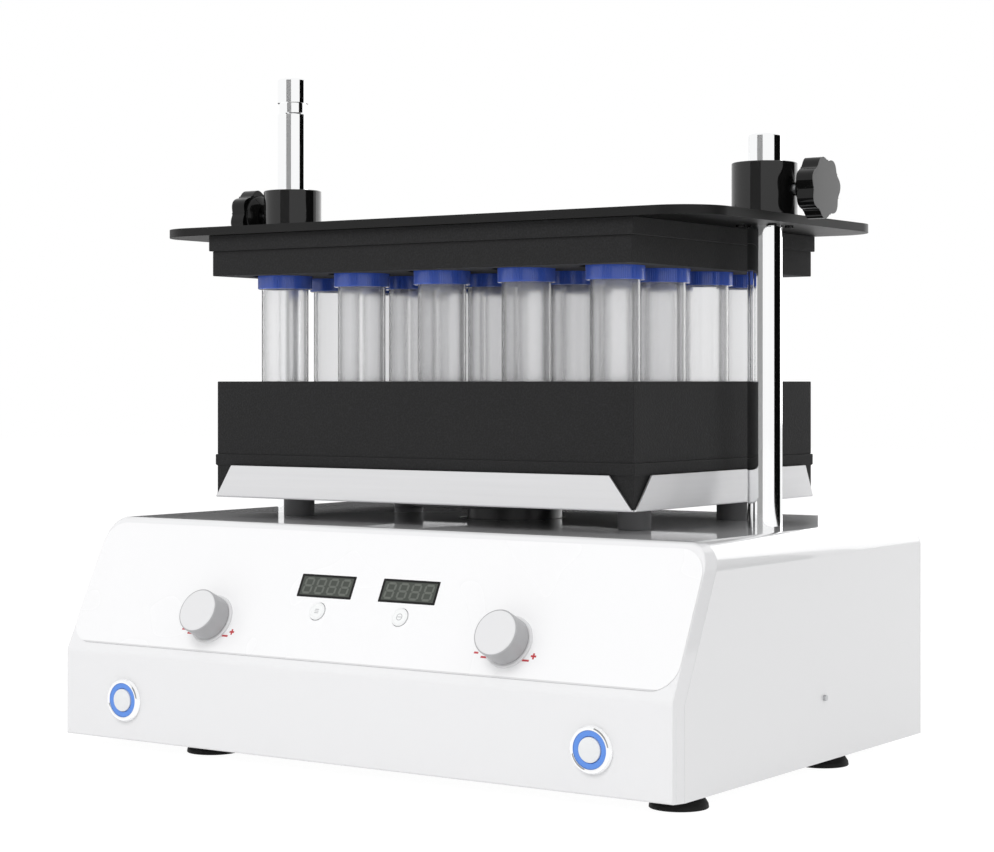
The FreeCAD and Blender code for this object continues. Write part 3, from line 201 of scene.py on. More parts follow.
# %% [markdown]
# ## What every finish shares
# A finish starts from object coordinates, which are the CAD's own metres and so keep a pattern at its true
# scale. Each one has a slow change of tone, a little change of roughness and a fine bump. These three keep a
# plain colour from looking like plastic film in a render.
# %% Finish class
class Finish(Graph):
    """A material round one Principled shader, with helpers for grain and bump."""

    def __init__(self, name, **fixed):
        self.material = bpy.data.materials.new(name)
        self.material.use_nodes = True
        super().__init__(self.material.node_tree)
        self.shader = self.tree.nodes["Principled BSDF"]
        for socket, amount in fixed.items():
            self.shader.inputs[socket.replace("_", " ")].default_value = amount
        self.place = self.add("ShaderNodeTexCoord", output=3)

    def noise(self, scale, detail=2.0, stretch=None):
        place = self.place
        if stretch:
            place = self.add("ShaderNodeMapping", None, {0: place, 3: stretch})
        return self.add("ShaderNodeTexNoise", None, {"Vector": place, "Scale": scale, "Detail": detail})

    def paint(self, socket, value):
        self.tree.links.new(value.socket, self.shader.inputs[socket])

    def tone(self, colour, depth=0.04, scale=9.0):
        """A base colour with slow, faint changes."""
        dark = [part * (1 - depth) for part in colour]
        return self.blend(self.noise(scale), (*dark, 1), (*colour, 1))

    def bump(self, height, depth):
        """Raise the surface by a height pattern of a given depth in metres."""
        self.paint("Normal", self.add("ShaderNodeBump", None, {"Height": height, "Distance": depth}))

    def grain(self, scale, depth, detail=2.0):
        """A bump of plain noise."""
        self.bump(self.noise(scale, detail), depth)

    def uneven(self, lowest, sway, scale=35.0, detail=2.0):
        """A roughness that sways over the surface."""
        self.paint("Roughness", self.noise(scale, detail) * sway + lowest)


def plain_finish(name, colour, roughness, grain=900.0, depth=0.00004, sway=0.05, **fixed):
    """A finish with slow tone, slightly uneven roughness and a fine grain."""
    finish = Finish(name, **fixed)
    finish.paint("Base Color", finish.tone(colour))
    finish.uneven(roughness - sway / 2, sway)
    finish.grain(grain, depth, 3.0)
    return finish


print("finish class ready")

# %% [markdown]
# ## Painted and printed surfaces
# The case is sheet metal under white powder paint, baked to a gloss with a very fine orange peel. The panel
# film is smoother and brighter. The small red minus and plus signs by the knobs are printed, so they belong
# in the film's colour and not in its shape: each is a distance formula in the face's own u and v. A thin
# grey band along the film's lower edge is painted shade, where that edge faces down.
# %% White paint and the printed film
paint_white = Finish("powder_white", Coat_Weight=1.0, Coat_Roughness=0.03)
paint_white.paint("Base Color", paint_white.tone((0.80, 0.80, 0.81), 0.006))
paint_white.uneven(0.27, 0.02)
paint_white.grain(700.0, 0.000004, 3.0)

KNOB_X = 110 * MM
KNOB_UP = 26.4 * MM
FILM_HALF = 222 * MM
FILM_LOW, FILM_HIGH = 5.3 * MM, 87.5 * MM
FILM_CORNER = 16 * MM
DISPLAY_X = 30.7 * MM
DISPLAY_SHIFT = 1.2 * MM
DISPLAY_UP = 52.4 * MM
DISPLAY = (41.2 * MM, 14.7 * MM)


def panel_places(finish):
    """u and v of a point on the slanted face."""
    x, y, z = (finish.add("ShaderNodeSeparateXYZ", None, {0: finish.place}, output=i) for i in range(3))
    return x, (y - FRONT) * UP_Y + (z - BEND_HEIGHT) * UP_Z


def bar_mask(x, y, centre, half_width, half_height):
    """1 inside a small printed bar."""
    over = ((x - centre[0]).size() - half_width).at_least((y - centre[1]).size() - half_height)
    return over.below(0, 0.15 * MM)


film = Finish("panel_film", Coat_Weight=0.35, Coat_Roughness=0.08)
u, v = panel_places(film)
middle = (FILM_LOW + FILM_HIGH) / 2
near = u - u.maths("SIGN") * KNOB_X
drop = v - KNOB_UP
marks = bar_mask(near, drop, (-19.8 * MM, -7.6 * MM), 1.5 * MM, 0.6 * MM)
for x, y, half_width, half_height in ((18.8, -7.1, 1.8, 0.6), (18.8, -7.1, 0.6, 1.8),
                                      (-13.8, -9.9, 2.3, 0.6), (14.2, -9.9, 2.3, 0.6)):
    bar = bar_mask(near, drop, (x * MM, y * MM), half_width * MM, half_height * MM)
    marks = marks.at_least(bar)
white = film.blend(film.noise(6.0, 0.0), (0.868, 0.868, 0.876, 1), (0.872, 0.872, 0.879, 1))
# A darker band along the film's lower edge: painted shade where the film's edge faces down.
painted_edge_shadow = v.below(FILM_LOW + 0.9 * MM, 0.4 * MM) * 0.4
white = film.blend(painted_edge_shadow, white, (0.35, 0.35, 0.36, 1))
film.paint("Base Color", film.blend(marks, white, (0.50, 0.05, 0.06, 1)))
film.uneven(0.26, 0.02, 30.0, 0.0)
film.grain(1500.0, 0.00001)
print("printed film ready")

# %% [markdown]
# ## Display windows
# Each window is a smooth dark pane with a black surround and a greyer field where the digits stand. Both
# fields are rectangles in the face's u and v, so the same bar mask that prints the signs can draw them.
# %% Display window finish
display_glass = Finish("display_glass", Specular_IOR_Level=0.2)
u, v = panel_places(display_glass)
inside = bar_mask(u - u.maths("SIGN") * DISPLAY_X - DISPLAY_SHIFT, v - DISPLAY_UP, (0, 0),
                  18.9 * MM, 5.9 * MM)
mist = display_glass.tone((0.070, 0.078, 0.068), 0.15, 120.0)
display_glass.paint("Base Color", display_glass.blend(inside, (0.006, 0.006, 0.006, 1), mist))
display_glass.uneven(0.10, 0.04, 60.0)
display_glass.grain(400.0, 0.000002)
print("display finish ready")

# %% [markdown]
# ## Metals, plastics, rubber and glass-clear tubes
# Most finishes differ in three ways only: how dark, how rough and what grain. Chrome is smooth and nearly
# white. The tubes let light through, and their colour is painted dark where their wall is seen edge-on, as
# painted shade at their edges: the Layer Weight node knows that angle.
# %% Plain finishes
chrome = plain_finish("chrome", (0.96, 0.965, 0.97), 0.05, 300.0, 0.000002, 0.03, Metallic=1.0)
steel = plain_finish("zinc_steel", (0.55, 0.56, 0.57), 0.35, 600.0, 0.00001, 0.08, Metallic=1.0)
motor_paint = plain_finish("motor_paint", (0.16, 0.17, 0.18), 0.45)
supply_sheet = plain_finish("galvanised_sheet", (0.50, 0.51, 0.52), 0.42, 60.0, 0.00003, 0.15, Metallic=1.0)
rubber = plain_finish("black_rubber", (0.010, 0.010, 0.010), 0.62, 500.0, 0.00006, Specular_IOR_Level=0.2)
mount_rubber = plain_finish("grey_rubber", (0.15, 0.15, 0.153), 0.60, 500.0, 0.00004)
hub_black = plain_finish("black_anodised", (0.020, 0.020, 0.022), 0.35, 900.0, 0.00001)
plate_black = plain_finish("black_powder", (0.009, 0.009, 0.009), 0.45, 1200.0, 0.00002,
                           Specular_IOR_Level=0.2)
gloss_black = plain_finish("black_plastic", (0.006, 0.006, 0.006), 0.07, 200.0, 0.000002, 0.03)
knob_grey = plain_finish("grey_knob", (0.43, 0.43, 0.44), 0.34, 1200.0, 0.00001)
# A lighter copy of the knob plastic for the knob faces and base rings: with the grey knob sides, a painted
# lit and shaded pair of one plastic.
knob_face_painted_light = plain_finish("knob_plastic_painted_light", (0.74, 0.74, 0.75), 0.36, 1200.0, 0.00001)
key_white = plain_finish("white_key", (0.86, 0.87, 0.87), 0.38)
button_white = plain_finish("button_face", (0.81, 0.82, 0.83), 0.30)
display_block = plain_finish("display_block", (0.035, 0.035, 0.035), 0.5)
segment_grey = plain_finish("unlit_segment", (0.115, 0.125, 0.110), 0.45)
cap_blue = plain_finish("blue_cap", (0.045, 0.115, 0.560), 0.22, 700.0, 0.00001, Coat_Weight=0.5,
                        Coat_Roughness=0.1)
inlet_black = plain_finish("inlet_plastic", (0.018, 0.018, 0.018), 0.40, 800.0, 0.00002)
brass = plain_finish("nickel_pin", (0.72, 0.68, 0.58), 0.25, 500.0, 0.000004, Metallic=1.0)
tube_clear = Finish("clear_tube", Transmission_Weight=0.93, IOR=1.4)
edge_on = tube_clear.add("ShaderNodeLayerWeight", None, {"Blend": 0.5}, output=1)
# Painted shade: the tube colour turns black where the wall is seen edge-on.
tube_colour_with_painted_edge_shade = tube_clear.blend(edge_on * edge_on, (0.985, 0.985, 0.99, 1), (0, 0, 0, 1))
tube_clear.paint("Base Color", tube_colour_with_painted_edge_shade)
tube_clear.uneven(0.08, 0.04)
tube_clear.grain(400.0, 0.000002)
light_ring = plain_finish("lit_ring", (0.10, 0.25, 0.68), 0.35, 500.0, 0.000004, 0.04,
                          Emission_Color=(0.12, 0.26, 0.75, 1), Emission_Strength=0.12)
print("plain finishes and clear tube ready")

# %% [markdown]
# ## Finishes with a pattern
# The tray is rolled aluminium, so its grain is a noise drawn out along the sheet. Foam has open cells, which
# are a small Voronoi bump. The boards show their weave through the green lacquer, as a fine brick pattern.
# %% Patterned finishes
aluminium = Finish("rolled_aluminium", Metallic=1.0)
roll = aluminium.noise(260.0, 3.0, (0.03, 0.03, 1.0))
aluminium.paint("Base Color", aluminium.blend(roll, (0.70, 0.70, 0.71, 1), (0.79, 0.79, 0.80, 1)))
aluminium.paint("Roughness", roll * 0.10 + 0.36)
aluminium.bump(roll, 0.000008)

foam = Finish("black_foam", Sheen_Weight=0.08, Sheen_Roughness=0.5, Specular_IOR_Level=0.2)
cells = foam.add("ShaderNodeTexVoronoi", None, {"Vector": foam.place, "Scale": 900.0})
foam.paint("Base Color", foam.blend(cells, (0.013, 0.013, 0.013, 1), (0.023, 0.023, 0.024, 1)))
foam.uneven(0.86, 0.08, 40.0)
foam.bump(cells * -1 + foam.noise(60.0) * 0.6, 0.00012)

board = Finish("circuit_board", Coat_Weight=0.4, Coat_Roughness=0.15)
weave = board.add("ShaderNodeTexBrick", None, {"Vector": board.place, "Scale": 260.0,
                                              "Color1": (0.010, 0.080, 0.030, 1),
                                              "Color2": (0.012, 0.095, 0.038, 1),
                                              "Mortar": (0.020, 0.130, 0.055, 1)})
board.paint("Base Color", weave)
board.uneven(0.35, 0.1, 50.0)
board.grain(400.0, 0.00002)

print("patterned finishes ready")

# %% [markdown]
# ## Which finish goes where
# Each CAD part names a material slot in the record. This table gives every slot its finish, so both the CAD
# parts that stay and the new pieces can look theirs up.
# %% Slots and finishes
FINISHES = {
    "shell_white": paint_white, "panel_film": film, "display_glass": display_glass,
    "display_block": display_block, "board_green": board, "knob_grey": knob_grey,
    "key_white": key_white, "bezel_chrome": chrome, "ring_blue": light_ring,
    "button_face": button_white, "post_chrome": chrome, "rubber_black": rubber,
    "foam_black": foam, "tray_aluminium": aluminium, "hub_black": hub_black,
    "steel_plain": steel, "motor_grey": motor_paint, "tube_clear": tube_clear,
    "cap_blue": cap_blue, "plate_black": plate_black, "knob_black": gloss_black,
    "supply_case": supply_sheet, "inlet_black": inlet_black, "pin_brass": brass,
}
print("finishes:", len(FINISHES))

# %% [markdown]
# ## Dressing the CAD parts that stay
# Motor, boards, screws and the other inner parts already have the right shape. They keep their CAD mesh and
# only take the finish that the record names for them.
# %% Finish the CAD parts
for part in frame["record"]["subparts"]:
    solid = frame["nodes"][part["node"]]
    solid.material_slots[0].material = FINISHES[part["material_slot"]].material
frame["nodes"]["collar_screws"].material_slots[0].material = gloss_black.material

# %% [markdown]
# ## Outlines
# Three shapes make nearly every part of such an instrument: a flat outline pushed up into a plate, a profile
# spun on a lathe, and holes cut through them. Corners are turned into real arcs before anything is pushed or
# spun, since a sharp edge catches no light and gives a model away.
# %% Outlines with round corners
def soften(points, radius, steps=5, closed=True):
    """Turn the corners of a flat outline into arcs; one radius for all, or one for each corner."""
    count = len(points)
    radii = radius if isinstance(radius, (list, tuple)) else [radius] * count
    outline = []
    for i, point in enumerate(points):
        corner = Vector(point)
        if radii[i] <= 0 or (not closed and i in (0, count - 1)):
            outline.append(corner)
            continue
        back = Vector(points[i - 1]) - corner
        ahead = Vector(points[(i + 1) % count]) - corner
        half = back.angle(ahead) / 2
        reach = min(radii[i] / math.tan(half), back.length * 0.49, ahead.length * 0.49)
        back.normalize()
        ahead.normalize()
        centre = corner + (back + ahead).normalized() * (reach / math.cos(half))
        start = corner + back * reach - centre
        finish = corner + ahead * reach - centre
        first = math.atan2(start.y, start.x)
        turn = (math.atan2(finish.y, finish.x) - first + math.pi) % (2 * math.pi) - math.pi
        for step in range(steps + 1):
            angle = first + turn * step / steps
            outline.append(centre + Vector((math.cos(angle), math.sin(angle))) * start.length)
    return outline


def rectangle(width, depth, radius, x=0.0, y=0.0, steps=6):
    """A rounded rectangle round a middle."""
    w, d = width / 2, depth / 2
    return soften([(x - w, y - d), (x + w, y - d), (x + w, y + d), (x - w, y + d)], radius, steps)


print("outline helpers ready")

# %% [markdown]
# ## Plates and lathe work
# An outline pushed up between two heights is a plate, and a profile spun round an axis is a turned part. Both
# are written vertex by vertex: this gives even faces with known edges, which bevels and cuts need.
# %% Plates and lathe work
def push(outline, low, high, edge=0.0, steps=3):
    """Push an outline into a plate between two heights, with its rims rounded."""
    shape = bmesh.new()
    count = len(outline)
    bottom = [shape.verts.new((x, y, low)) for x, y in outline]
    top = [shape.verts.new((x, y, high)) for x, y in outline]
    shape.faces.new(bottom[::-1])
    shape.faces.new(top)
    for i in range(count):
        j = (i + 1) % count
        shape.faces.new((bottom[i], bottom[j], top[j], top[i]))
    if edge:
        rims = [e for e in shape.edges if abs(e.verts[0].co.z - e.verts[1].co.z) < 1e-9]
        bmesh.ops.bevel(shape, geom=rims, offset=edge, segments=steps, profile=0.5, affect="EDGES",
                        clamp_overlap=True)
    return shape


def spin(profile, steps, closed=False):
    """Spin a profile of (radius, height) points round Z. A closed profile makes a ring."""
    shape = bmesh.new()
    rings = []
    for radius, height in profile:
        if radius < 1e-7:
            rings.append([shape.verts.new((0, 0, height))])
            continue
        angles = [2 * math.pi * i / steps for i in range(steps)]
        rings.append([shape.verts.new((radius * math.cos(a), radius * math.sin(a), height)) for a in angles])
    pairs = list(zip(rings, rings[1:])) + ([(rings[-1], rings[0])] if closed else [])
    for low, high in pairs:
        for i in range(steps):
            corners = []
            for ring, place in ((low, i), (low, i + 1), (high, i + 1), (high, i)):
                vertex = ring[place % len(ring)]
                if vertex not in corners:
                    corners.append(vertex)
            if len(corners) > 2:
                shape.faces.new(corners)
    bmesh.ops.recalc_face_normals(shape, faces=shape.faces)
    return shape


def lathe(points, radii, steps, rounding=4, closed=False):
    """Spin a profile whose corners are rounded first."""
    return spin(soften(points, radii, rounding, closed), steps, closed)


def peg(radius, low, high, steps):
    """A plain round bar round Z, mostly used as a drill."""
    return spin([(0, low), (radius, low), (radius, high), (0, high)], steps)


print("plate and lathe helpers ready")

# %% [markdown]
# ## From shapes to pieces
# A piece is a mesh with its place baked in, on an object that sits at the origin. So each shape is turned
# and moved while it is still being built, and the object never needs a transform.
# %% Shapes and pieces
STAND = Matrix.Rotation(math.radians(90), 4, "X")
ALONG = {
    "Z": Matrix(),
    "X": Matrix.Rotation(math.radians(90), 4, "Y"),
    "Y": Matrix.Rotation(math.radians(-90), 4, "X"),
}


def moved(shape, x, y, z=0.0, axis="Z"):
    """Turn a shape so that its Z lies along an axis, and move it."""
    shape.transform(Matrix.Translation((x, y, z)) @ ALONG[axis])
    return shape


def on_panel(shape, across, up):
    """Lay a shape on the slanted face."""
    moved(shape, across, up).transform(PANEL)
    return shape


def together(shapes):
    """One shape of several."""
    whole = bmesh.new()
    for shape in shapes:
        carrier = bpy.data.meshes.new("carrier")
        shape.to_mesh(carrier)
        shape.free()
        whole.from_mesh(carrier)
        bpy.data.meshes.remove(carrier)
    return whole


def piece(name, shape, finish=None):
    """A new object from a shape."""
    bmesh.ops.recalc_face_normals(shape, faces=shape.faces)
    mesh = bpy.data.meshes.new(name)
    shape.to_mesh(mesh)
    shape.free()
    thing = bpy.data.objects.new(name, mesh)
    bpy.context.scene.collection.objects.link(thing)
    if finish:
        mesh.materials.append(finish.material)
    return thing


print("placing helpers ready")

# %% [markdown]
# ## Cuts, edges and the last step
# Cutting uses the Boolean modifier, whose result is taken as a plain mesh, and a small bevel afterwards
# breaks the new edges. The last step is the same for all: smooth shading, the body the piece rides on, and
# the CAD parts that it stands for.
# %% Cuts, edges and settling
THROUGH = 20 * MM  # how far a cutter reaches past a sheet on either side
ACROSS = 300 * MM  # the same for one that passes the whole case


def fixed_mesh(thing):
    """Take what the modifiers give as the piece's plain mesh."""
    graph = bpy.context.evaluated_depsgraph_get()
    mesh = bpy.data.meshes.new_from_object(thing.evaluated_get(graph))
    thing.modifiers.clear()
    old = thing.data
    thing.data = mesh
    bpy.data.meshes.remove(old)
    return thing


def carve(thing, cutter, operation="DIFFERENCE"):
    """Cut one object from another, or keep only what they share."""
    modifier = thing.modifiers.new("Cut", "BOOLEAN")
    modifier.object = cutter
    modifier.operation = operation
    modifier.solver = "EXACT"
    fixed_mesh(thing)
    bpy.data.objects.remove(cutter)
    return thing


def break_edges(thing, width, angle=35):
    """A small bevel on every sharp edge."""
    modifier = thing.modifiers.new("Edges", "BEVEL")
    modifier.width = width
    modifier.segments = 2
    modifier.limit_method = "ANGLE"
    modifier.angle_limit = math.radians(angle)
    modifier.use_clamp_overlap = True
    return fixed_mesh(thing)


def settle(thing, body, *nodes, slot=None):
    """Smooth the shading, set the piece on its body and let it stand for its CAD parts."""
    thing.data.shade_smooth()
    thing.data.set_sharp_from_angle(angle=math.radians(38))
    even = thing.modifiers.new("Even shading", "WEIGHTED_NORMAL")
    even.keep_sharp = True
    fixed_mesh(thing)
    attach(thing, body)
    if nodes:
        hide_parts(*nodes)
    print(thing.name, len(thing.data.polygons), "faces on", body)
    return thing


print("cutting helpers ready")

# %% [markdown]
# ## Copies by Geometry Nodes
# Twenty tubes, twenty caps, two dozen cooling slots and the digits of the displays all stand on grids. One
# small node tree does them all: a grid of points, an instance of the given object on each, and a last step
# that makes the copies real. Its sizes are inputs of the modifier, so the same tree serves every grid. What
# sets one kind of tree apart is only how it lays out the points, and that is a function of its own.
# %% A grid of copies
def copies_tree(name, sizes, lay_out):
    """Node tree that sets copies of an object on the points that lay_out makes from its sizes."""
    tree = bpy.data.node_groups.new(name, "GeometryNodeTree")
    tree.is_modifier = True
    sockets = {"Original": "Object", **sizes, "Finish": "Material"}
    for label, kind in sockets.items():
        tree.interface.new_socket(name=label, in_out="INPUT", socket_type="NodeSocket" + kind)
    tree.interface.new_socket(name="Copies", in_out="OUTPUT", socket_type="NodeSocketGeometry")
    graph = Graph(tree)
    given = tree.nodes.new("NodeGroupInput")
    inputs = {label: Value(graph, given.outputs[label]) for label in sockets}
    original = graph.add("GeometryNodeObjectInfo", None, {"Object": inputs["Original"]}, output=4)
    places = lay_out(graph, inputs)
    copies = graph.add("GeometryNodeInstanceOnPoints", None, {**places, "Instance": original})
    real = graph.add("GeometryNodeRealizeInstances", None, {"Geometry": copies})
    finished = graph.add("GeometryNodeSetMaterial", None, {"Geometry": real, "Material": inputs["Finish"]})
    tree.links.new(finished.socket, tree.nodes.new("NodeGroupOutput").inputs["Copies"])
    return tree


def grid_points(graph, inputs):
    grid = graph.add("GeometryNodeMeshGrid", None, {
        "Size X": inputs["Width"], "Size Y": inputs["Depth"],
        "Vertices X": inputs["Columns"], "Vertices Y": inputs["Rows"]})
    places = graph.add("GeometryNodeSetPosition", None, {"Geometry": grid, "Offset": inputs["Middle"]})
    return {"Points": places}


GRID = copies_tree("grid_of_copies", {"Columns": "Int", "Rows": "Int", "Width": "Float", "Depth": "Float",
                                      "Middle": "Vector"}, grid_points)


def grown(name, tree, amounts):
    """Run a node tree on an empty carrier and keep the result as a plain mesh."""
    carrier = bpy.data.objects.new(name, bpy.data.meshes.new(name))
    bpy.context.scene.collection.objects.link(carrier)
    modifier = carrier.modifiers.new(tree.name, "NODES")
    modifier.node_group = tree
    for item in tree.interface.items_tree:
        if item.in_out == "INPUT" and item.name in amounts:
            modifier[item.identifier] = amounts[item.name]
    return fixed_mesh(carrier)


def grid_of(name, original, columns, rows, pitch_x, pitch_y, middle, finish):
    """Copies of an object on a grid, as one plain piece; the original is used up."""
    copies = grown(name, GRID, {
        "Original": original, "Columns": columns, "Rows": rows, "Width": pitch_x * (columns - 1),
        "Depth": pitch_y * (rows - 1), "Middle": middle, "Finish": finish.material})
    bpy.data.objects.remove(original)
    return copies


print("grid tree nodes:", len(GRID.nodes))

# %% [markdown]
# ## Case cover
# One sheet is folded over both sides and the deck, with a wide bend at each shoulder. Its section is drawn
# as an outline with the sheet's thickness, pushed along the depth, and then cut off along the slanted front
# by keeping only what a side view of the case allows.
# %% Case cover
SHOULDER = 16 * MM
SHEET = 1.5 * MM
FRONT_SHEET = 2 * MM
BEND = 8 * MM


def section(inset):
    """Front view of the case as an open line, moved in by an inset."""
    x, z = HALF_WIDTH - inset, DECK - inset
    radius = SHOULDER - inset
    return soften([(-x, CASE_BOTTOM), (-x, z), (x, z), (x, CASE_BOTTOM)], [0, radius, radius, 0], 10, False)


def along_y(outline, front, rear):
    """Push a front view, drawn in x and z, along the depth."""
    shape = push(outline, -rear, -front)
    shape.transform(STAND)
    return shape


def along_x(outline, left, right):
    """Push a side view, drawn in y and z, across the width."""
    shape = push(outline, left, right)
    shape.transform(Matrix(((0, 0, 1, 0), (1, 0, 0, 0), (0, 1, 0, 0), (0, 0, 0, 1))))
    return shape


def lean(back, z):
    """y of the slanted face, or of a face behind it, at a height."""
    return FRONT + back * SLOPE_LENGTH / SLOPE_RISE + max(0, z - BEND_HEIGHT) * SLOPE_RUN / SLOPE_RISE


miter = math.tan(math.atan2(SLOPE_RUN, SLOPE_RISE) / 2)
RETURN = 8 * MM
behind = RETURN + 0.06 * MM
above = DECK + THROUGH
side_view = [(FRONT + behind, 0), (FRONT + behind, BEND_HEIGHT - behind * miter), (lean(behind, DECK), DECK),
             (lean(behind, above), above), (cover.high.y, above), (cover.high.y, 0)]
cover_piece = piece("case_cover", along_y(section(0) + section(SHEET)[::-1], FRONT, cover.high.y),
                    paint_white)
carve(cover_piece, piece("cutter", along_x(side_view, -ACROSS, ACROSS)), "INTERSECT")
HUB = extent("drive_hub")
DRIVE_HOLE = 34 * MM
hole_line = rectangle(2 * DRIVE_HOLE, 2 * DRIVE_HOLE, DRIVE_HOLE * 0.999, steps=12)
drive_hole = moved(push(hole_line, -THROUGH, THROUGH), 0, DRIVE_Y, DECK)
side_screws = extent("case_screws").middle
screw_hole = moved(peg(1 * MM, -ACROSS, ACROSS, 12), 0, side_screws.y, side_screws.z, "X")
carve(cover_piece, piece("cutter", together([drive_hole, screw_hole])))
break_edges(cover_piece, 0.12 * MM)
settle(cover_piece, "base", "top_cover")

# %% [markdown]
# ## Front panel
# A second sheet closes the front: upright below, leaning above, with a round bend between. It is the space
# between two side profiles, cut to the front view of the case.
# %% Front panel
KEY_UP = 36.3 * MM
KEY_RADIUS = 5.5 * MM
BUSH = 3.5 * MM
BUTTON_X = 172 * MM
BUTTON_Z = extent("power_button").middle.z
BARREL = 11 * MM


def front_profile(depth):
    """Side view of a face that lies a depth behind the front face."""
    return soften([(FRONT + depth, CASE_BOTTOM), (FRONT + depth, BEND_HEIGHT - depth * miter),
                   (lean(depth, DECK), DECK)], [0, max(BEND - depth, 1 * MM), 0], 8, False)


def front_shell(near_face, far_face, inset):
    """The part of the case's front between two depths, inside a front view."""
    outline = front_profile(near_face) + front_profile(far_face)[::-1]
    shell = piece("front_sheet", along_x(outline, -ACROSS, ACROSS), paint_white)
    return carve(shell, piece("cutter", along_y(section(inset), FRONT - 0.01, REAR)), "INTERSECT")


front_piece = front_shell(0, RETURN, 0)
print("front profile points:", len(front_profile(0)))

# %% [markdown]
# ## Rim of the front
# The side edges turn in by almost three millimetres, so that the front ends in a crisp line, while the top
# edge is a wide round. One Bevel does both, with a weight of its own for each edge of the rim.
# %% Rim of the front
CORNER = 3.2 * MM
TURN_IN = 2.8 * MM
SIDE_LOSS, LOW_SHARE = 0.85, 0.35
shape = bmesh.new()
shape.from_mesh(front_piece.data)
sideways = {}
weights = shape.edges.layers.float.new("bevel_weight_edge")
rim = []
for edge in shape.edges:
    facing = sorted(face.normal.y for face in edge.link_faces)
    if len(facing) == 2 and facing[0] < -0.5 and abs(facing[1]) < 0.05:
        rim.append(edge)
        for vertex in edge.verts:
            reach = (abs(vertex.co.x) - HALF_WIDTH + SHOULDER) / SHOULDER
            sideways[vertex] = max(0.0, reach) if vertex.co.z > DECK - SHOULDER else 1.0
for edge in rim:
    low_edge = max(vertex.co.z for vertex in edge.verts) < CASE_BOTTOM + 1 * MM
    turned = min(sideways[vertex] for vertex in edge.verts)
    edge[weights] = LOW_SHARE if low_edge else 1 - SIDE_LOSS * turned
for vertex, turned in sideways.items():
    if abs(vertex.co.x) > HALF_WIDTH - SHOULDER:
        vertex.co.x -= math.copysign(TURN_IN * turned, vertex.co.x)
shape.to_mesh(front_piece.data)
shape.free()
rounding = front_piece.modifiers.new("Rim", "BEVEL")
rounding.width = CORNER
rounding.segments = 5
rounding.limit_method = "WEIGHT"
fixed_mesh(front_piece)
print("rounded rim edges:", len(rim))

# %% [markdown]
# ## Hollow and openings of the front
# Until here the front is solid, which keeps the rounding simple. Now its inside is cut out, to leave a bent
# sheet with returns, and then the openings for the displays, keys, knob bushes and lit buttons.
# %% Hollow and openings of the front
INNER = 4.4 * MM


def panel_openings(display_corner, key_gap):
    """Cutters for both displays, keys and knob bushes, drawn flat in u and v."""
    cutters = []
    for side_sign in (-1, 1):
        cutters += [
            moved(push(rectangle(*DISPLAY, display_corner), -THROUGH, THROUGH),
                  side_sign * DISPLAY_X + DISPLAY_SHIFT, DISPLAY_UP),
            moved(peg(KEY_RADIUS + key_gap, -THROUGH, THROUGH, 40), side_sign * DISPLAY_X, KEY_UP),
            moved(peg(BUSH, -THROUGH, THROUGH, 24), side_sign * KNOB_X, KNOB_UP)]
    return together(cutters)


carve(front_piece, front_shell(FRONT_SHEET, RETURN + 1 * MM, INNER))
openings = panel_openings(0.6 * MM, 0.6 * MM)
openings.transform(PANEL)
barrels = [moved(peg(BARREL, -THROUGH, THROUGH, 48), s * BUTTON_X, FRONT, BUTTON_Z, "Y") for s in (-1, 1)]
carve(front_piece, piece("cutter", together([openings, *barrels])))
break_edges(front_piece, 0.12 * MM, angle=50)
settle(front_piece, "base", "front_panel")

# %% [markdown]
# ## Rear panel
# A flat plate closes the back. The cooling slots repeat, so the slot is made once, with round ends, and the
# grid tree makes the cutter of all of them.
# %% Rear panel with cooling slots
rear = extent("rear_panel")
inlet = extent("power_inlet")
VENT = (46 * MM, 3 * MM)
VENT_PITCH = (56 * MM, 7 * MM)
VENT_MIDDLE = (10 * MM, 85.4 * MM)
INLET_OPENING = (27.5 * MM, 20 * MM)
slot_shape = piece("slot", push(rectangle(*VENT, VENT[1] * 0.495), -THROUGH, THROUGH))
slots = grid_of("slots", slot_shape, 3, 8, *VENT_PITCH, (0, 0, 0), paint_white)
slots.data.transform(Matrix.Translation((VENT_MIDDLE[0], REAR, VENT_MIDDLE[1])) @ STAND)
opening = push(rectangle(*INLET_OPENING, 1 * MM), -THROUGH, THROUGH)
opening.transform(Matrix.Translation((inlet.middle.x, REAR, inlet.middle.z)) @ STAND)
rear_piece = piece("rear_sheet", along_y(section(0), rear.low.y, rear.high.y), paint_white)
carve(rear_piece, slots)
carve(rear_piece, piece("cutter", opening))
break_edges(rear_piece, 0.3 * MM)
settle(rear_piece, "base", "rear_panel")

# %% [markdown]
# ## Power inlet
# The mains socket is a moulded frame with a deep opening whose two lower corners are cut off, so that the
# plug goes in only one way. The three pins inside keep their CAD shape.
# %% Power inlet
FLANGE = 3 * MM
SOCKET_DEPTH, SOCKET_WALL = 16 * MM, 2 * MM
flange = push(rectangle(inlet.size.x, inlet.size.z, 3 * MM), REAR, REAR + FLANGE, 0.8 * MM)
inlet_body = push(rectangle(*INLET_OPENING, 1 * MM), inlet.low.y, REAR + 1 * MM)
w, h = (side / 2 - SOCKET_WALL for side in INLET_OPENING)
mouth_line = soften([(-w, -h), (w, -h), (w, h - 4 * MM), (w - 4 * MM, h), (4 * MM - w, h), (-w, h - 4 * MM)],
                    0.8 * MM)
mouth = push(mouth_line, REAR - SOCKET_DEPTH, REAR + THROUGH)
for shape in (flange, inlet_body, mouth):
    moved(shape, inlet.middle.x, 0, inlet.middle.z, "Y")
inlet_piece = piece("inlet_frame", flange, inlet_black)
carve(inlet_piece, piece("cutter", inlet_body), "UNION")
carve(inlet_piece, piece("cutter", mouth))
break_edges(inlet_piece, 0.25 * MM)
settle(inlet_piece, "base", "power_inlet")

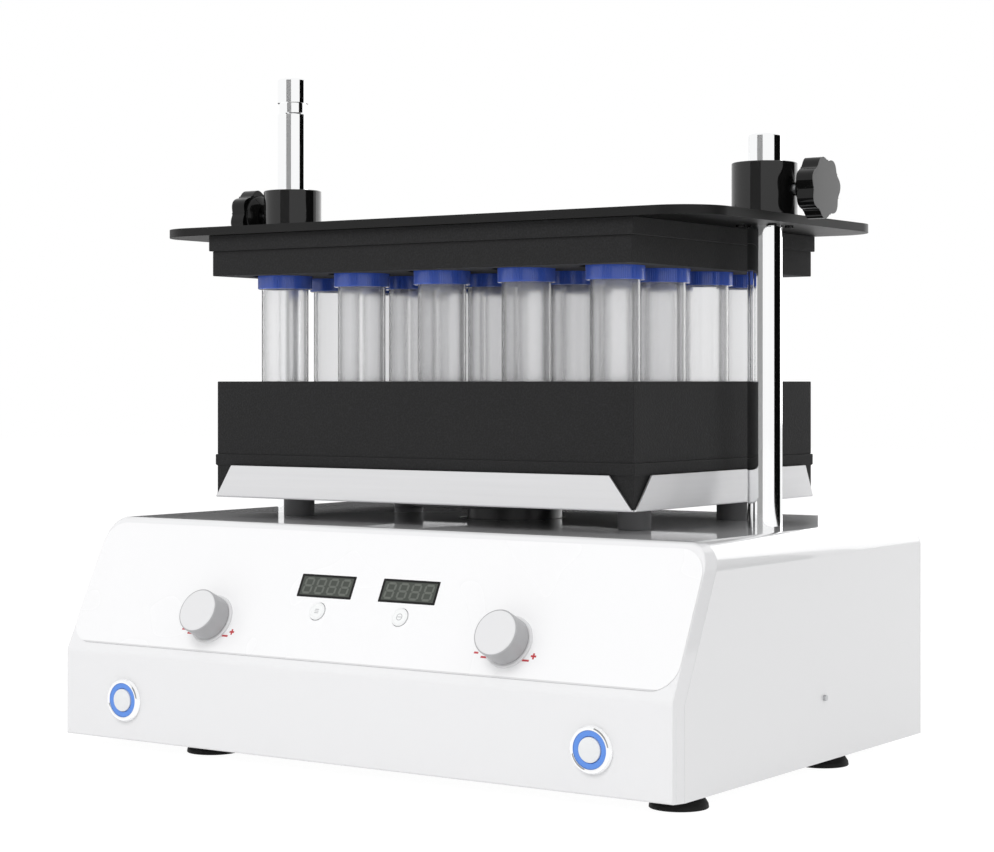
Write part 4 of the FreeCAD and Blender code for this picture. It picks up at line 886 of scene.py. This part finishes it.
# %% [markdown]
# ## Panel film
# The film is a thin plate with round corners. The openings of the front serve again, a little closer round
# the keys. It is drawn and cut flat, and laid on the slanted face last.
# %% Film on the slanted face
FILM = 0.6 * MM
film_line = rectangle(2 * FILM_HALF, FILM_HIGH - FILM_LOW, FILM_CORNER, 0, middle, 10)
film_piece = piece("panel_film", push(film_line, 0, FILM, 0.55 * MM, 3), film)
carve(film_piece, piece("cutter", panel_openings(0.5 * MM, 0.3 * MM)))
film_piece.data.transform(PANEL)
settle(film_piece, "base", "panel_overlay")

# %% [markdown]
# ## Windows and digits
# The windows are thin panes let into the front. Each shows four unlit digits of seven slim bars with
# pointed ends, all from one outline. One digit is made as flat plates, and the grid tree repeats it.
# %% Display windows and digits
panes = [on_panel(push(rectangle(*DISPLAY, 0.5 * MM), -FRONT_SHEET, FILM, 0.25 * MM),
                  s * DISPLAY_X + DISPLAY_SHIFT, DISPLAY_UP) for s in (-1, 1)]
settle(piece("display_panes", together(panes), display_glass), "base", "display_windows")

DIGIT = (5.7 * MM, 9.2 * MM)
DIGIT_PITCH = 9.2 * MM
BAR, BAR_HEIGHT = 1.35 * MM, 0.08 * MM
DIGIT_LEAN = 0.10


def bar_outline(length, x, y, upright):
    """A slim six-sided bar with pointed ends."""
    reach, half = length / 2 - 0.15 * MM, BAR / 2
    line = [(-reach, 0), (-reach + half, -half), (reach - half, -half), (reach, 0), (reach - half, half),
            (-reach + half, half)]
    if upright:
        line = [(-b, a) for a, b in line]
    return [(a + x + (b + y) * DIGIT_LEAN, b + y) for a, b in line]


def digit_shape():
    """Seven bars of one digit, as thin plates."""
    w, h = DIGIT[0] / 2, DIGIT[1] / 2
    bars = [bar_outline(DIGIT[0], 0, y, False) for y in (-h, 0, h)]
    bars += [bar_outline(h, x, y, True) for x in (-w, w) for y in (-h / 2, h / 2)]
    return together([push(bar, 0, BAR_HEIGHT) for bar in bars])


for name, side_sign in (("left_digits", -1), ("right_digits", 1)):
    digits = grid_of(name, piece("digit", digit_shape()), 4, 1, DIGIT_PITCH, 0,
                     (side_sign * DISPLAY_X + DISPLAY_SHIFT, DISPLAY_UP, FILM - 0.02 * MM), segment_grey)
    digits.data.transform(PANEL)
    settle(digits, "base", slot="display_block")

# %% [markdown]
# ## Round controls
# Knobs, rings, keys, bezels and lit rings are all lathe work. Each profile is read outwards from the axis,
# and its corners are rounded by the amount that moulded plastic or turned metal would have. A knob's rim is
# crisper here than the CAD chamfer, so it ends 0.3 mm lower to stay inside the CAD box.
# %% Control knobs
KNOB_RADIUS = 14 * MM
KNOB_LOW = 2.3 * MM
KNOB_TOP = 15.7 * MM
SHAFT, SHAFT_LOW = 2.5 * MM, -5.7 * MM
for name, side_sign in (("speed_knob", -1), ("time_knob", 1)):
    skirt = soften([(SHAFT, SHAFT_LOW), (SHAFT, KNOB_LOW), (KNOB_RADIUS, KNOB_LOW),
                    (KNOB_RADIUS - 0.2 * MM, KNOB_TOP - 0.5 * MM), (KNOB_RADIUS - 0.6 * MM, KNOB_TOP),
                    (KNOB_RADIUS - 0.8 * MM, KNOB_TOP - 0.25 * MM)],
                   [0, 0, 0.4 * MM, 0.3 * MM, 0.2 * MM, 0], 4, False)
    body_shape = spin([(0, SHAFT_LOW)] + skirt + [(0, KNOB_TOP - 0.25 * MM)], 96)
    disc = spin([(0, KNOB_TOP - 0.3 * MM), (KNOB_RADIUS - 0.9 * MM, KNOB_TOP - 0.3 * MM),
                 (KNOB_RADIUS - 1.1 * MM, KNOB_TOP - 0.05 * MM), (0, KNOB_TOP - 0.05 * MM)], 96)
    for shape in (body_shape, disc):
        on_panel(shape, side_sign * KNOB_X, KNOB_UP)
    settle(piece(name + "_body", body_shape, knob_grey), name, name)
    # The face disc takes the lighter copy of the knob plastic, as painted light.
    settle(piece(name + "_disc", disc, knob_face_painted_light), name, slot="knob_grey")

RING = 15.5 * MM
# The base rings take the same lighter copy of the knob plastic, as painted light.
rings = [on_panel(lathe([(BUSH, FILM), (RING, FILM), (RING, 2.0 * MM), (BUSH, 2.0 * MM)],
                        [0, 0.1 * MM, 0.6 * MM, 0], 96, 5, True), s * KNOB_X, KNOB_UP) for s in (-1, 1)]
settle(piece("knob_base_rings", together(rings), knob_face_painted_light), "base", "knob_rings")

# %% [markdown]
# ## Keys
# The small keys are moulded caps that travel less than a millimetre. A raised sign on each is made of bars
# and a ring, since at this size a drawn shape is simpler than a picture of one.
# %% Keys under the displays
KEY_TOP = 1.4 * MM
SIGN_LOW, SIGN_TOP = 1.36 * MM, 1.44 * MM
for name, side_sign in (("speed_key", -1), ("time_key", 1)):
    cap = lathe([(0, KEY_TOP), (KEY_RADIUS - 1.3 * MM, KEY_TOP), (KEY_RADIUS - 0.9 * MM, 1.15 * MM),
                 (KEY_RADIUS - 0.5 * MM, KEY_TOP), (KEY_RADIUS, KEY_TOP), (KEY_RADIUS, -2 * MM),
                 (1.8 * MM, -2 * MM), (1.8 * MM, -3.5 * MM), (0, -3.5 * MM)],
                [0, 0.2 * MM, 0, 0.2 * MM, 0.3 * MM, 0, 0, 0, 0], 64, 3)
    signs = [push(rectangle(3.0 * MM, 0.45 * MM, 0.2 * MM, 0, y), SIGN_LOW, SIGN_TOP)
             for y in ((-1.1 * MM, 0, 1.1 * MM) if side_sign < 0 else (0,))]
    if side_sign > 0:
        signs.append(spin([(1.7 * MM, SIGN_LOW), (2.1 * MM, SIGN_LOW), (2.1 * MM, SIGN_TOP),
                           (1.7 * MM, SIGN_TOP)], 32, True))
    sign_shape = together(signs)
    for shape in (cap, sign_shape):
        on_panel(shape, side_sign * DISPLAY_X, KEY_UP)
    settle(piece(name + "_cap", cap, key_white), name, name)
    settle(piece(name + "_mark", sign_shape, knob_grey), name, slot="knob_grey")

# %% [markdown]
# ## Lit buttons
# A lit push button is a chromed bezel, a ring of clear blue plastic with a lamp under it, and a white cap
# that moves. All three are lathe profiles about one axis, so they stay concentric.
# %% Lit push buttons
BEZEL = 13.5 * MM
RING_OUT, RING_IN, BUTTON = 10.6 * MM, 7.3 * MM, 7.0 * MM
bezel_line = [(RING_OUT, 6 * MM), (RING_OUT, -2.7 * MM), (11.6 * MM, -3.0 * MM), (12.6 * MM, -2.6 * MM),
              (BEZEL, -0.9 * MM), (BEZEL, 0), (BARREL, 0), (BARREL, 28 * MM), (RING_IN, 28 * MM),
              (RING_IN, 6 * MM)]
bezel_radii = [0, 0.3 * MM, 0.5 * MM, 0.8 * MM, 0.4 * MM, 0, 0, 0.5 * MM, 0, 0]
glow_line = [(RING_IN, 6 * MM), (RING_IN, -2.4 * MM), (RING_OUT, -2.4 * MM), (RING_OUT, 6 * MM)]
for name, node, line, radii, finish in (
        ("button_bezels", "button_bodies", bezel_line, bezel_radii, chrome),
        ("button_glow_rings", "light_rings", glow_line, [0, 0.5 * MM, 0.5 * MM, 0], light_ring)):
    pair = [moved(lathe(line, radii, 96, 4, True), s * BUTTON_X, FRONT, BUTTON_Z, "Y") for s in (-1, 1)]
    settle(piece(name, together(pair), finish), "base", node)
for name, side_sign in (("power_button", -1), ("start_button", 1)):
    back = extent(name).high.y - FRONT
    face = lathe([(0, -3.4 * MM), (BUTTON * 0.5, -3.35 * MM), (BUTTON, -3.1 * MM), (BUTTON, back), (0, back)],
                 [0, 3 * MM, 0.5 * MM, 0, 0], 64)
    moved(face, side_sign * BUTTON_X, FRONT, BUTTON_Z, "Y")
    settle(piece(name + "_disc", face, button_white), name, name)

# %% [markdown]
# ## Feet and rubber mounts
# Small turned parts again. Four rubber feet are wider at the bench; four round mounts stand between deck
# and tray.
# %% Feet and mounts
feet = extent("feet")
FOOT_RADIUS, FOOT_TOP = 16.5 * MM, 13 * MM
foot_x = (feet.low.x + FOOT_RADIUS, feet.high.x - FOOT_RADIUS)
foot_y = (feet.low.y + FOOT_RADIUS, feet.high.y - FOOT_RADIUS)
foot_line = [(1.8 * MM, feet.top), (FOOT_TOP, feet.top), (FOOT_RADIUS - 0.4 * MM, 2.5 * MM),
             (FOOT_RADIUS, 0), (4.6 * MM, 0), (4.6 * MM, 5 * MM), (1.8 * MM, 5 * MM)]
foot_radii = [0, 0.8 * MM, 2 * MM, 0.5 * MM, 0.5 * MM, 0, 0]
foot_shapes = [moved(lathe(foot_line, foot_radii, 64, 4, True), x, y) for x in foot_x for y in foot_y]
settle(piece("rubber_feet", together(foot_shapes), rubber), "base", "feet")

mounts = extent("vibration_mounts")
MOUNT = 10 * MM
mount_x = mounts.size.x / 2 - MOUNT
mount_y = mounts.size.y / 2 - MOUNT


def puck(low, high, round_by, rounding):
    """A flat round block as wide as a mount."""
    return lathe([(0, low), (MOUNT, low), (MOUNT, high), (0, high)], [0, round_by, round_by, 0], 48, rounding)


mount_shapes = [moved(puck(mounts.bottom, mounts.top, 0.4 * MM, 4), sx * mount_x, DRIVE_Y + sy * mount_y)
                for sx in (-1, 1) for sy in (-1, 1)]
settle(piece("rubber_mounts", together(mount_shapes), mount_rubber), "base", "vibration_mounts")

# %% [markdown]
# ## Chromed posts
# Each post is turned from bar, with a stop groove near its chamfered top. Chrome shows what is
# around it, so the long white and black stripes on the posts come from the studio and not from this mesh.
# %% Posts
POST_RADIUS = extent("left_post").size.x / 2
for node in ("left_post", "right_post"):
    here = extent(node)
    low = here.top - 24.5 * MM
    high = low + 8 * MM
    waist = POST_RADIUS - 1.2 * MM
    post = lathe([(0, here.bottom), (POST_RADIUS, here.bottom), (POST_RADIUS, low), (waist, low + 1.2 * MM),
                  (waist, high), (POST_RADIUS, high), (POST_RADIUS, here.top - 1 * MM),
                  (POST_RADIUS - 1 * MM, here.top), (0, here.top)],
                 [0, 0, 0.3 * MM, 0.3 * MM, 0.2 * MM, 0.25 * MM, 0.3 * MM, 0.3 * MM, 0], 96)
    settle(piece(node + "_bar", moved(post, here.middle.x, here.middle.y), chrome), "base", node)

# %% [markdown]
# ## Tray
# The tray is folded from sheet: a floor and four flaps that lean out a little, cut away at the corners so
# that the foam shows in a V. The fold is drawn as an arc, the flap ends follow the V, and Solidify gives the
# single surface its sheet thickness.
# %% Folded tray
tray = extent("tray")
FLARE = 2 * MM
TRAY_SHEET = 1.2 * MM
TRAY_HALF = (tray.size.x / 2 - FLARE, tray.size.y / 2 - FLARE)
NOTCH = 14.5 * MM
NOTCH_TIP = 1.5 * MM
FOLD = 2.4 * MM


def folded_sheet():
    """Floor and four flaps as one surface, open at the corners."""
    shape = bmesh.new()
    half_x, half_y = TRAY_HALF
    # each point of the bent flap: how far out from the floor's fold, and how high
    line = soften([(-FOLD, 0), (0, 0), (FLARE, tray.size.z)], [0, FOLD * 0.9, 0], 5, False)
    floor = {}
    for sx in (-1, 1):
        for sy in (-1, 1):
            floor[sx, sy] = shape.verts.new((sx * (half_x - FOLD), sy * (half_y - FOLD), 0))
    shape.faces.new([floor[-1, -1], floor[1, -1], floor[1, 1], floor[-1, 1]])
    for across, sign in ((0, -1), (0, 1), (1, -1), (1, 1)):
        rows = []
        for out, height in line:
            reach = (half_y if across == 0 else half_x) + out
            along = (half_x if across == 0 else half_y) - NOTCH_TIP - NOTCH * max(0, height) / tray.size.z
            if out == line[0][0]:
                pair = [floor[s, sign] if across == 0 else floor[sign, s] for s in (-1, 1)]
            elif across == 0:
                pair = [shape.verts.new((s * along, sign * reach, height)) for s in (-1, 1)]
            else:
                pair = [shape.verts.new((sign * reach, s * along, height)) for s in (-1, 1)]
            rows.append(pair)
        for low, high in zip(rows, rows[1:]):
            shape.faces.new((low[0], low[1], high[1], high[0]))
    bmesh.ops.recalc_face_normals(shape, faces=shape.faces)
    return shape


tray_piece = piece("folded_tray", moved(folded_sheet(), TRAY_X, DRIVE_Y, tray.bottom), aluminium)
if tray_piece.data.polygons[0].normal.z > 0:
    tray_piece.data.flip_normals()
wall = tray_piece.modifiers.new("Sheet", "SOLIDIFY")
wall.thickness = TRAY_SHEET
wall.offset = -1
fixed_mesh(tray_piece)
break_edges(tray_piece, 0.25 * MM)
settle(tray_piece, "tray", "tray")

# %% [markdown]
# ## Drive hub and mount plates
# Under the tray a wide flange joins the hub that hangs through the deck. It is turned in one piece and
# anodised black.
# %% Hub and mount plates
STEM = 30.5 * MM
BORE = 21 * MM
flange_low = HUB.top - 4 * MM
hub = lathe([(0, HUB.top), (HUB.size.x / 2, HUB.top), (HUB.size.x / 2, flange_low),
             (STEM, flange_low), (STEM, HUB.bottom), (BORE, HUB.bottom), (BORE, flange_low - 3.4 * MM),
             (0, flange_low - 3.4 * MM)],
            [0, 0.4 * MM, 0.4 * MM, 2 * MM, 1 * MM, 0.5 * MM, 0, 0], 96)
settle(piece("hub_flange", moved(hub, TRAY_X, DRIVE_Y), hub_black), "tray", "drive_hub")
caps = extent("mount_caps")
cap_disc = piece("cap_disc", puck(caps.bottom, caps.top, 0.3 * MM, 3))
plates = grid_of("mount_plates", cap_disc, 2, 2, 2 * mount_x, 2 * mount_y, (caps.middle.x, DRIVE_Y, 0),
                 mount_rubber)
settle(plates, "tray", "mount_caps")

# %% [markdown]
# ## Foam
# Four foam parts hold the tubes: a pad on the tray floor, the drilled rack above it, and two layers under
# the press plate. Cut foam is flat where it was sliced but never quite sharp: its edges give, and its sides
# bow by a fraction of a millimetre. The block is divided finely, pushed by a smooth formula, and then
# drilled with a cutter that the grid tree makes.
# %% Foam blocks
def foam_block(name, node, bow):
    """A block in the place of a CAD solid, with slightly hollow sides and soft edges."""
    here = extent(node)
    half = here.size / 2
    shape = push(rectangle(here.size.x, here.size.y, 0.5 * MM, steps=2), -half.z, half.z, 0.5 * MM, 2)
    long_edges = [e for e in shape.edges if e.calc_length() > 20 * MM]
    bmesh.ops.subdivide_edges(shape, edges=long_edges, cuts=28, use_grid_fill=True)
    for vertex in shape.verts:
        x, y, z = (vertex.co[i] / half[i] for i in range(3))
        if abs(x) > 0.9:
            vertex.co.x -= math.copysign(bow, x) * (1 - y * y) * max(0.0, 1 - z * z)
        if abs(y) > 0.9:
            vertex.co.y -= math.copysign(bow, y) * (1 - x * x) * max(0.0, 1 - z * z)
    return piece(name, moved(shape, *here.middle), foam)


tubes = extent("tubes")
COLUMNS, ROWS = 5, 4
TUBE_RADIUS = 15 * MM
TUBE_FIT, CAP_ROOM = 0.3 * MM, 2.3 * MM
TUBE_PITCH = ((tubes.size.x - 2 * TUBE_RADIUS) / (COLUMNS - 1), (tubes.size.y - 2 * TUBE_RADIUS) / (ROWS - 1))


def drill(radius, low, high, x):
    """A cutter of twenty round pegs at the tube places."""
    one_peg = piece("peg", peg(radius, low, high, 40))
    return grid_of("drill", one_peg, COLUMNS, ROWS, *TUBE_PITCH, (x, DRIVE_Y, 0), foam)


LIP = 0.9 * MM
DRILL_LOW, DRILL_HIGH = 100 * MM, 300 * MM
pad = foam_block("base_foam", "base_pad", 0.15 * MM)
pad_box = extent("base_pad")
for vertex in pad.data.vertices:
    if vertex.co.z < tray.top + 0.3 * MM:
        for axis in (0, 1):
            offset = vertex.co[axis] - pad_box.middle[axis]
            vertex.co[axis] -= offset * 2 * LIP / pad_box.size[axis]
settle(pad, "tray", "base_pad")
rack = foam_block("rack_foam", "foam_rack", 0.35 * MM)
carve(rack, drill(TUBE_RADIUS + TUBE_FIT, DRILL_LOW, DRILL_HIGH, TRAY_X))
settle(rack, "tray", "foam_rack")
lower = foam_block("press_foam_pockets", "press_foam_lower", 0.3 * MM)
CAP_RADIUS = 17.5 * MM
pocket_top = extent("tube_caps").top + 0.3 * MM
carve(lower, drill(CAP_RADIUS + CAP_ROOM, DRILL_LOW, pocket_top, 0))
settle(lower, "press", "press_foam_lower")
upper = foam_block("press_foam_backing", "press_foam_upper", 0.2 * MM)
settle(upper, "press", "press_foam_upper")

# %% [markdown]
# ## Tubes
# A tube is one profile: outside up from the cone, over the rim, and back down the inside, so light meets a
# real wall. The grid tree then makes twenty.
# %% Tubes
TUBE_WALL = 1.2 * MM
TUBE_TIP, TUBE_CONE = 4 * MM, 15 * MM
length = tubes.size.z
one_tube = lathe([(0, 0), (TUBE_TIP, 0), (TUBE_RADIUS, TUBE_CONE), (TUBE_RADIUS, length),
                  (TUBE_RADIUS - TUBE_WALL, length), (TUBE_RADIUS - TUBE_WALL, TUBE_CONE + TUBE_WALL / 2),
                  (TUBE_TIP - TUBE_WALL / 2, TUBE_WALL * 1.5), (0, TUBE_WALL * 1.5)],
                 [0, 1 * MM, 3 * MM, 0.3 * MM, 0.3 * MM, 2.5 * MM, 0.8 * MM, 0], 64)
tube_set = grid_of("sample_tubes", piece("one_tube", one_tube), COLUMNS, ROWS, *TUBE_PITCH,
                   (TRAY_X, DRIVE_Y, tubes.bottom), tube_clear)
settle(tube_set, "tray", "tubes")

# %% [markdown]
# ## Ribbed caps
# A tube's cap has fine ribs so that a gloved hand can turn it. One rib repeated round a circle is a job for
# Geometry Nodes: the count, the radius and the rib are its inputs, and each rib is turned to face outwards.
# %% A ring of ribs
def ring_points(graph, inputs):
    outwards = graph.add("GeometryNodeInputPosition")
    return {
        "Points": graph.add("GeometryNodeMeshCircle", None,
                            {"Vertices": inputs["Count"], "Radius": inputs["Radius"]}),
        "Rotation": graph.add("FunctionNodeAlignRotationToVector", {"axis": "X"}, {"Vector": outwards})}


RING_TREE = copies_tree("ring_of_copies", {"Count": "Int", "Radius": "Float"}, ring_points)
tube_caps = extent("tube_caps")
cap_height = tube_caps.size.z
RIB = 0.18 * MM
cap_shape = lathe([(0, cap_height), (CAP_RADIUS - RIB, cap_height), (CAP_RADIUS - RIB, 0),
                   (TUBE_RADIUS + 0.2 * MM, 0), (TUBE_RADIUS + 0.2 * MM, cap_height - 1.6 * MM),
                   (0, cap_height - 1.6 * MM)], [0, 1.2 * MM, 0.3 * MM, 0, 0, 0], 96, 5)
cap_body = piece("cap_body", cap_shape)
rib = piece("rib", push(rectangle(2 * RIB, 0.7 * MM, 0.12 * MM, -RIB, 0, 1), 0.4 * MM, cap_height - 1.3 * MM,
                        0.08 * MM, 1))
rib_ring = grown("rib_ring", RING_TREE, {"Original": rib, "Count": 96, "Radius": CAP_RADIUS,
                                         "Finish": cap_blue.material})
bpy.data.objects.remove(rib)
whole_cap = bmesh.new()
whole_cap.from_mesh(cap_body.data)
whole_cap.from_mesh(rib_ring.data)
for used in (cap_body, rib_ring):
    bpy.data.objects.remove(used)
cap_set = grid_of("screw_caps", piece("one_cap", whole_cap), COLUMNS, ROWS, *TUBE_PITCH,
                  (TRAY_X, DRIVE_Y, tube_caps.bottom), cap_blue)
settle(cap_set, "tray", "tube_caps")

# %% [markdown]
# ## Press plate and collars
# The press plate is a powder-coated plate with wide round corners. A collar stands on it round each post,
# and a star knob clamps it from outside, so each collar has a cross hole for that knob's screw.
# %% Press plate and collars
plate = extent("press_plate")
plate_line = rectangle(plate.size.x, plate.size.y, 30 * MM, 0, DRIVE_Y, 12)
plate_piece = piece("press_board", push(plate_line, plate.bottom, plate.top, 0.7 * MM, 3), plate_black)
post_centres = [extent(node).middle.x for node in ("left_post", "right_post")]
post_holes = [moved(peg(POST_RADIUS + 0.5 * MM, -THROUGH, THROUGH, 64), x, DRIVE_Y, plate.middle.z)
              for x in post_centres]
carve(plate_piece, piece("cutter", together(post_holes)))
settle(plate_piece, "press", "press_plate")

CLAMP = extent("right_clamp_knob")
CROSS_HOLE, CROSS_REACH = 4.05 * MM, 50 * MM
for node, sign in (("left_collar", -1), ("right_collar", 1)):
    here = extent(node)
    bore = POST_RADIUS + 0.05 * MM
    collar_shape = lathe([(bore, here.bottom), (here.size.x / 2, here.bottom), (here.size.x / 2, here.top),
                          (bore, here.top)], [0.3 * MM, 0.3 * MM, 0.8 * MM, 0.5 * MM], 96, 4, True)
    collar = piece(node + "_ring", moved(collar_shape, here.middle.x, here.middle.y), gloss_black)
    start = here.middle.x - (0 if sign > 0 else CROSS_REACH)
    across = moved(peg(CROSS_HOLE, 0, CROSS_REACH, 32), start, here.middle.y, CLAMP.middle.z, "X")
    carve(collar, piece("cutter", across))
    settle(collar, "press", node)

# %% [markdown]
# ## Star knob plastic
# The end face of a star knob is greyer than its polished sides as a painted reflection of the studio light,
# so the finish asks how far out each point lies, in place of a second material and a cut between the two.
# %% Star knob finish
star_black = Finish("star_plastic", Specular_IOR_Level=0.25)
reach = star_black.add("ShaderNodeSeparateXYZ", None, {0: star_black.place}).size()
# Painted reflection: the flat end face is greyer than the nearly black sides.
painted_reflection_face = 1 - reach.below(CLAMP.high.x - 0.3 * MM, 0.1 * MM)
star_black.paint("Base Color", star_black.blend(painted_reflection_face, (0.004, 0.004, 0.004, 1), (0.12, 0.12, 0.12, 1)))
star_black.uneven(0.07, 0.03, 60.0)
star_black.grain(200.0, 0.000002)
print("star knob finish ready")

# %% [markdown]
# ## Star knobs
# Both knobs come from one recipe, turned from side to side: the head, a cone-shaped boss behind it and the
# steel screw that clamps the post. The head's outline is one formula: a circle whose radius swings seven
# times a turn, with the valleys made rounder than the lobes.
# %% Star knobs
LOBES = 7
STAR_RADIUS = 18.5 * MM
STAR_HEAD = 11 * MM
STAR_BOSS = 5.7 * MM
STAR_TURN = math.radians(-7)
SCREW = 3.2 * MM


def star_outline(steps=168):
    """Seven round lobes with shallow valleys between them."""
    points = []
    for i in range(steps):
        angle = 2 * math.pi * i / steps
        swing = (math.cos(LOBES * (angle - STAR_TURN)) + 1) / 2
        radius = STAR_RADIUS * (0.87 + 0.13 * swing ** 0.8)
        points.append((radius * math.cos(angle), radius * math.sin(angle)))
    return points


for node, body, sign in (("left_clamp_knob", "left_clamp", -1), ("right_clamp_knob", "right_clamp", 1)):
    here = extent(node)
    far = here.high.x if sign > 0 else -here.low.x
    tip = here.low.x if sign > 0 else -here.high.x
    inner = far - STAR_HEAD
    head = push(star_outline(), inner, far, 0.7 * MM, 3)
    boss = lathe([(0, inner - STAR_BOSS), (8 * MM, inner - STAR_BOSS), (14.4 * MM, inner - 1.5 * MM),
                  (14.8 * MM, inner + 0.8 * MM), (0, inner + 0.8 * MM)], [0, 2 * MM, 2.5 * MM, 0, 0], 64, 6)
    star = together([head, boss])
    screw = spin([(0, tip), (SCREW - 0.6 * MM, tip), (SCREW, tip + 0.6 * MM), (SCREW, inner - 1 * MM),
                  (0, inner - 1 * MM)], 32)
    sideways = (Matrix.Translation((0, DRIVE_Y, CLAMP.middle.z))
                @ Matrix(((0, 0, sign, 0), (0, 1, 0, 0), (-sign, 0, 0, 0), (0, 0, 0, 1))))
    for shape in (star, screw):
        shape.transform(sideways)
    settle(piece(node + "_star", star, star_black), body, node)
    settle(piece(node + "_screw", screw, steel), body, slot="steel_plain")

# %% [markdown]
# ## Studio
# The instrument stands in a white studio. The world is plain white for the camera, for mirrors and for
# glass, and a little lower for the light that falls on matt surfaces, so that white paint keeps its shape.
# %% World and floor
MATT_LIGHT, CAMERA_LIGHT = 0.645, 1.0
FLOOR_GLOW, FLOOR_SHARE = 1.12, 0.86
world = bpy.data.worlds.new("Studio")
bpy.context.scene.world = world
world.use_nodes = True
sky = Graph(world.node_tree)
for node in list(world.node_tree.nodes):
    world.node_tree.nodes.remove(node)
soft_light = sky.add("ShaderNodeBackground", None, {"Color": (1, 1, 1, 1), "Strength": MATT_LIGHT})
backdrop = sky.add("ShaderNodeBackground", None, {"Color": (1, 1, 1, 1), "Strength": CAMERA_LIGHT})
both = sky.add("ShaderNodeMixShader", None, {0: sky.seen_directly(), 1: soft_light, 2: backdrop})
sky.add("ShaderNodeOutputWorld", None, {"Surface": both})

ground = bmesh.new()
FLOOR = 6.0
ground.faces.new([ground.verts.new((x * FLOOR, y * FLOOR, -0.0002))
                  for x, y in ((-1, -1), (1, -1), (1, 1), (-1, 1))])
floor = Finish("white_floor", Roughness=0.9)
floor.paint("Base Color", floor.blend(floor.noise(3.0), (0.86, 0.86, 0.86, 1), (0.88, 0.88, 0.88, 1)))
glow = floor.add("ShaderNodeEmission", None, {"Color": (1, 1, 1, 1), "Strength": FLOOR_GLOW})
mixed = floor.add("ShaderNodeMixShader", None, {0: floor.seen_directly() * FLOOR_SHARE,
                                                1: Value(floor, floor.shader.outputs[0]), 2: glow})
floor.tree.links.new(mixed.socket, floor.tree.nodes["Material Output"].inputs["Surface"])
floor_piece = piece("studio_floor", ground, floor)
print("floor side in metres:", 2 * FLOOR)

# %% [markdown]
# ## Lamps and cards
# Two soft lamps model the front and the side. Cards that only mirrors can see give the chrome its black
# stripe and its grey band, as a photographer does with boards beside the camera. A low dark card behind the
# instrument darkens what the deck mirrors, and a bright one further back keeps its shoulder white.
# %% Lamps and cards
to_camera = Vector((*CAMERA_PLACE[:2], 0)).normalized()
to_right = Vector((-to_camera.y, to_camera.x, 0))


def around(angle, distance, height):
    """A place round the instrument: 0 degrees towards the camera, 90 to the right of the picture."""
    turn = math.radians(angle)
    flat = to_camera * math.cos(turn) + to_right * math.sin(turn)
    return Vector((flat.x * distance, flat.y * distance, height))


def softbox(name, place, size, power):
    """A square area lamp that looks at the instrument."""
    lamp = bpy.data.lights.new(name, "AREA")
    lamp.size = size
    lamp.energy = power
    holder = bpy.data.objects.new(name, lamp)
    holder.location = place
    holder.rotation_euler = (Vector((0, 0, 0.2)) - place).to_track_quat("-Z", "Y").to_euler()
    holder.visible_glossy = False
    bpy.context.scene.collection.objects.link(holder)


def card(name, start, end, shade, low=-0.2, high=1.5, glow=0.0):
    """An upright board between two places on the floor plan, that only mirrors see."""
    finish = Finish(name + "_paint", Roughness=1.0, Specular_IOR_Level=0.0, Emission_Strength=glow,
                    Emission_Color=(1, 1, 1, 1))
    finish.paint("Base Color", finish.tone((shade, shade, shade), 0.02))
    along = Vector((end[0] - start[0], end[1] - start[1], 0))
    shape = push([(0, low), (along.length, low), (along.length, high), (0, high)], -0.003, 0.003)
    turn = Matrix.Rotation(math.atan2(along.y, along.x), 4, "Z")
    shape.transform(Matrix.Translation((*start, 0)) @ turn @ STAND)
    board_piece = piece(name, shape, finish)
    for ray in ("camera", "diffuse", "shadow", "transmission", "volume_scatter"):
        setattr(board_piece, "visible_" + ray, False)


softbox("key_lamp", around(-35, 1.9, 1.7), 1.3, 27)
softbox("side_lamp", around(70, 2.2, 1.3), 1.2, 8.3)
card("black_card", (0.52, 0.58), (1.30, 0.06), 0.003, 0.10)
card("grey_card", around(-52, 1.7, 0)[:2], around(-14, 1.7, 0)[:2], 0.42)
behind_it = to_camera * -1.2
card("rear_card", (behind_it - to_right * 1.2)[:2], (behind_it + to_right * 0.376)[:2], 0.01, 0.10, 0.40)
card("light_card", (-0.9, 1.4), (0.87, 1.4), 0.8, 0.18, 1.1, 1.6)
print("studio ready")

bpy.context.scene.view_settings.view_transform = "Standard"
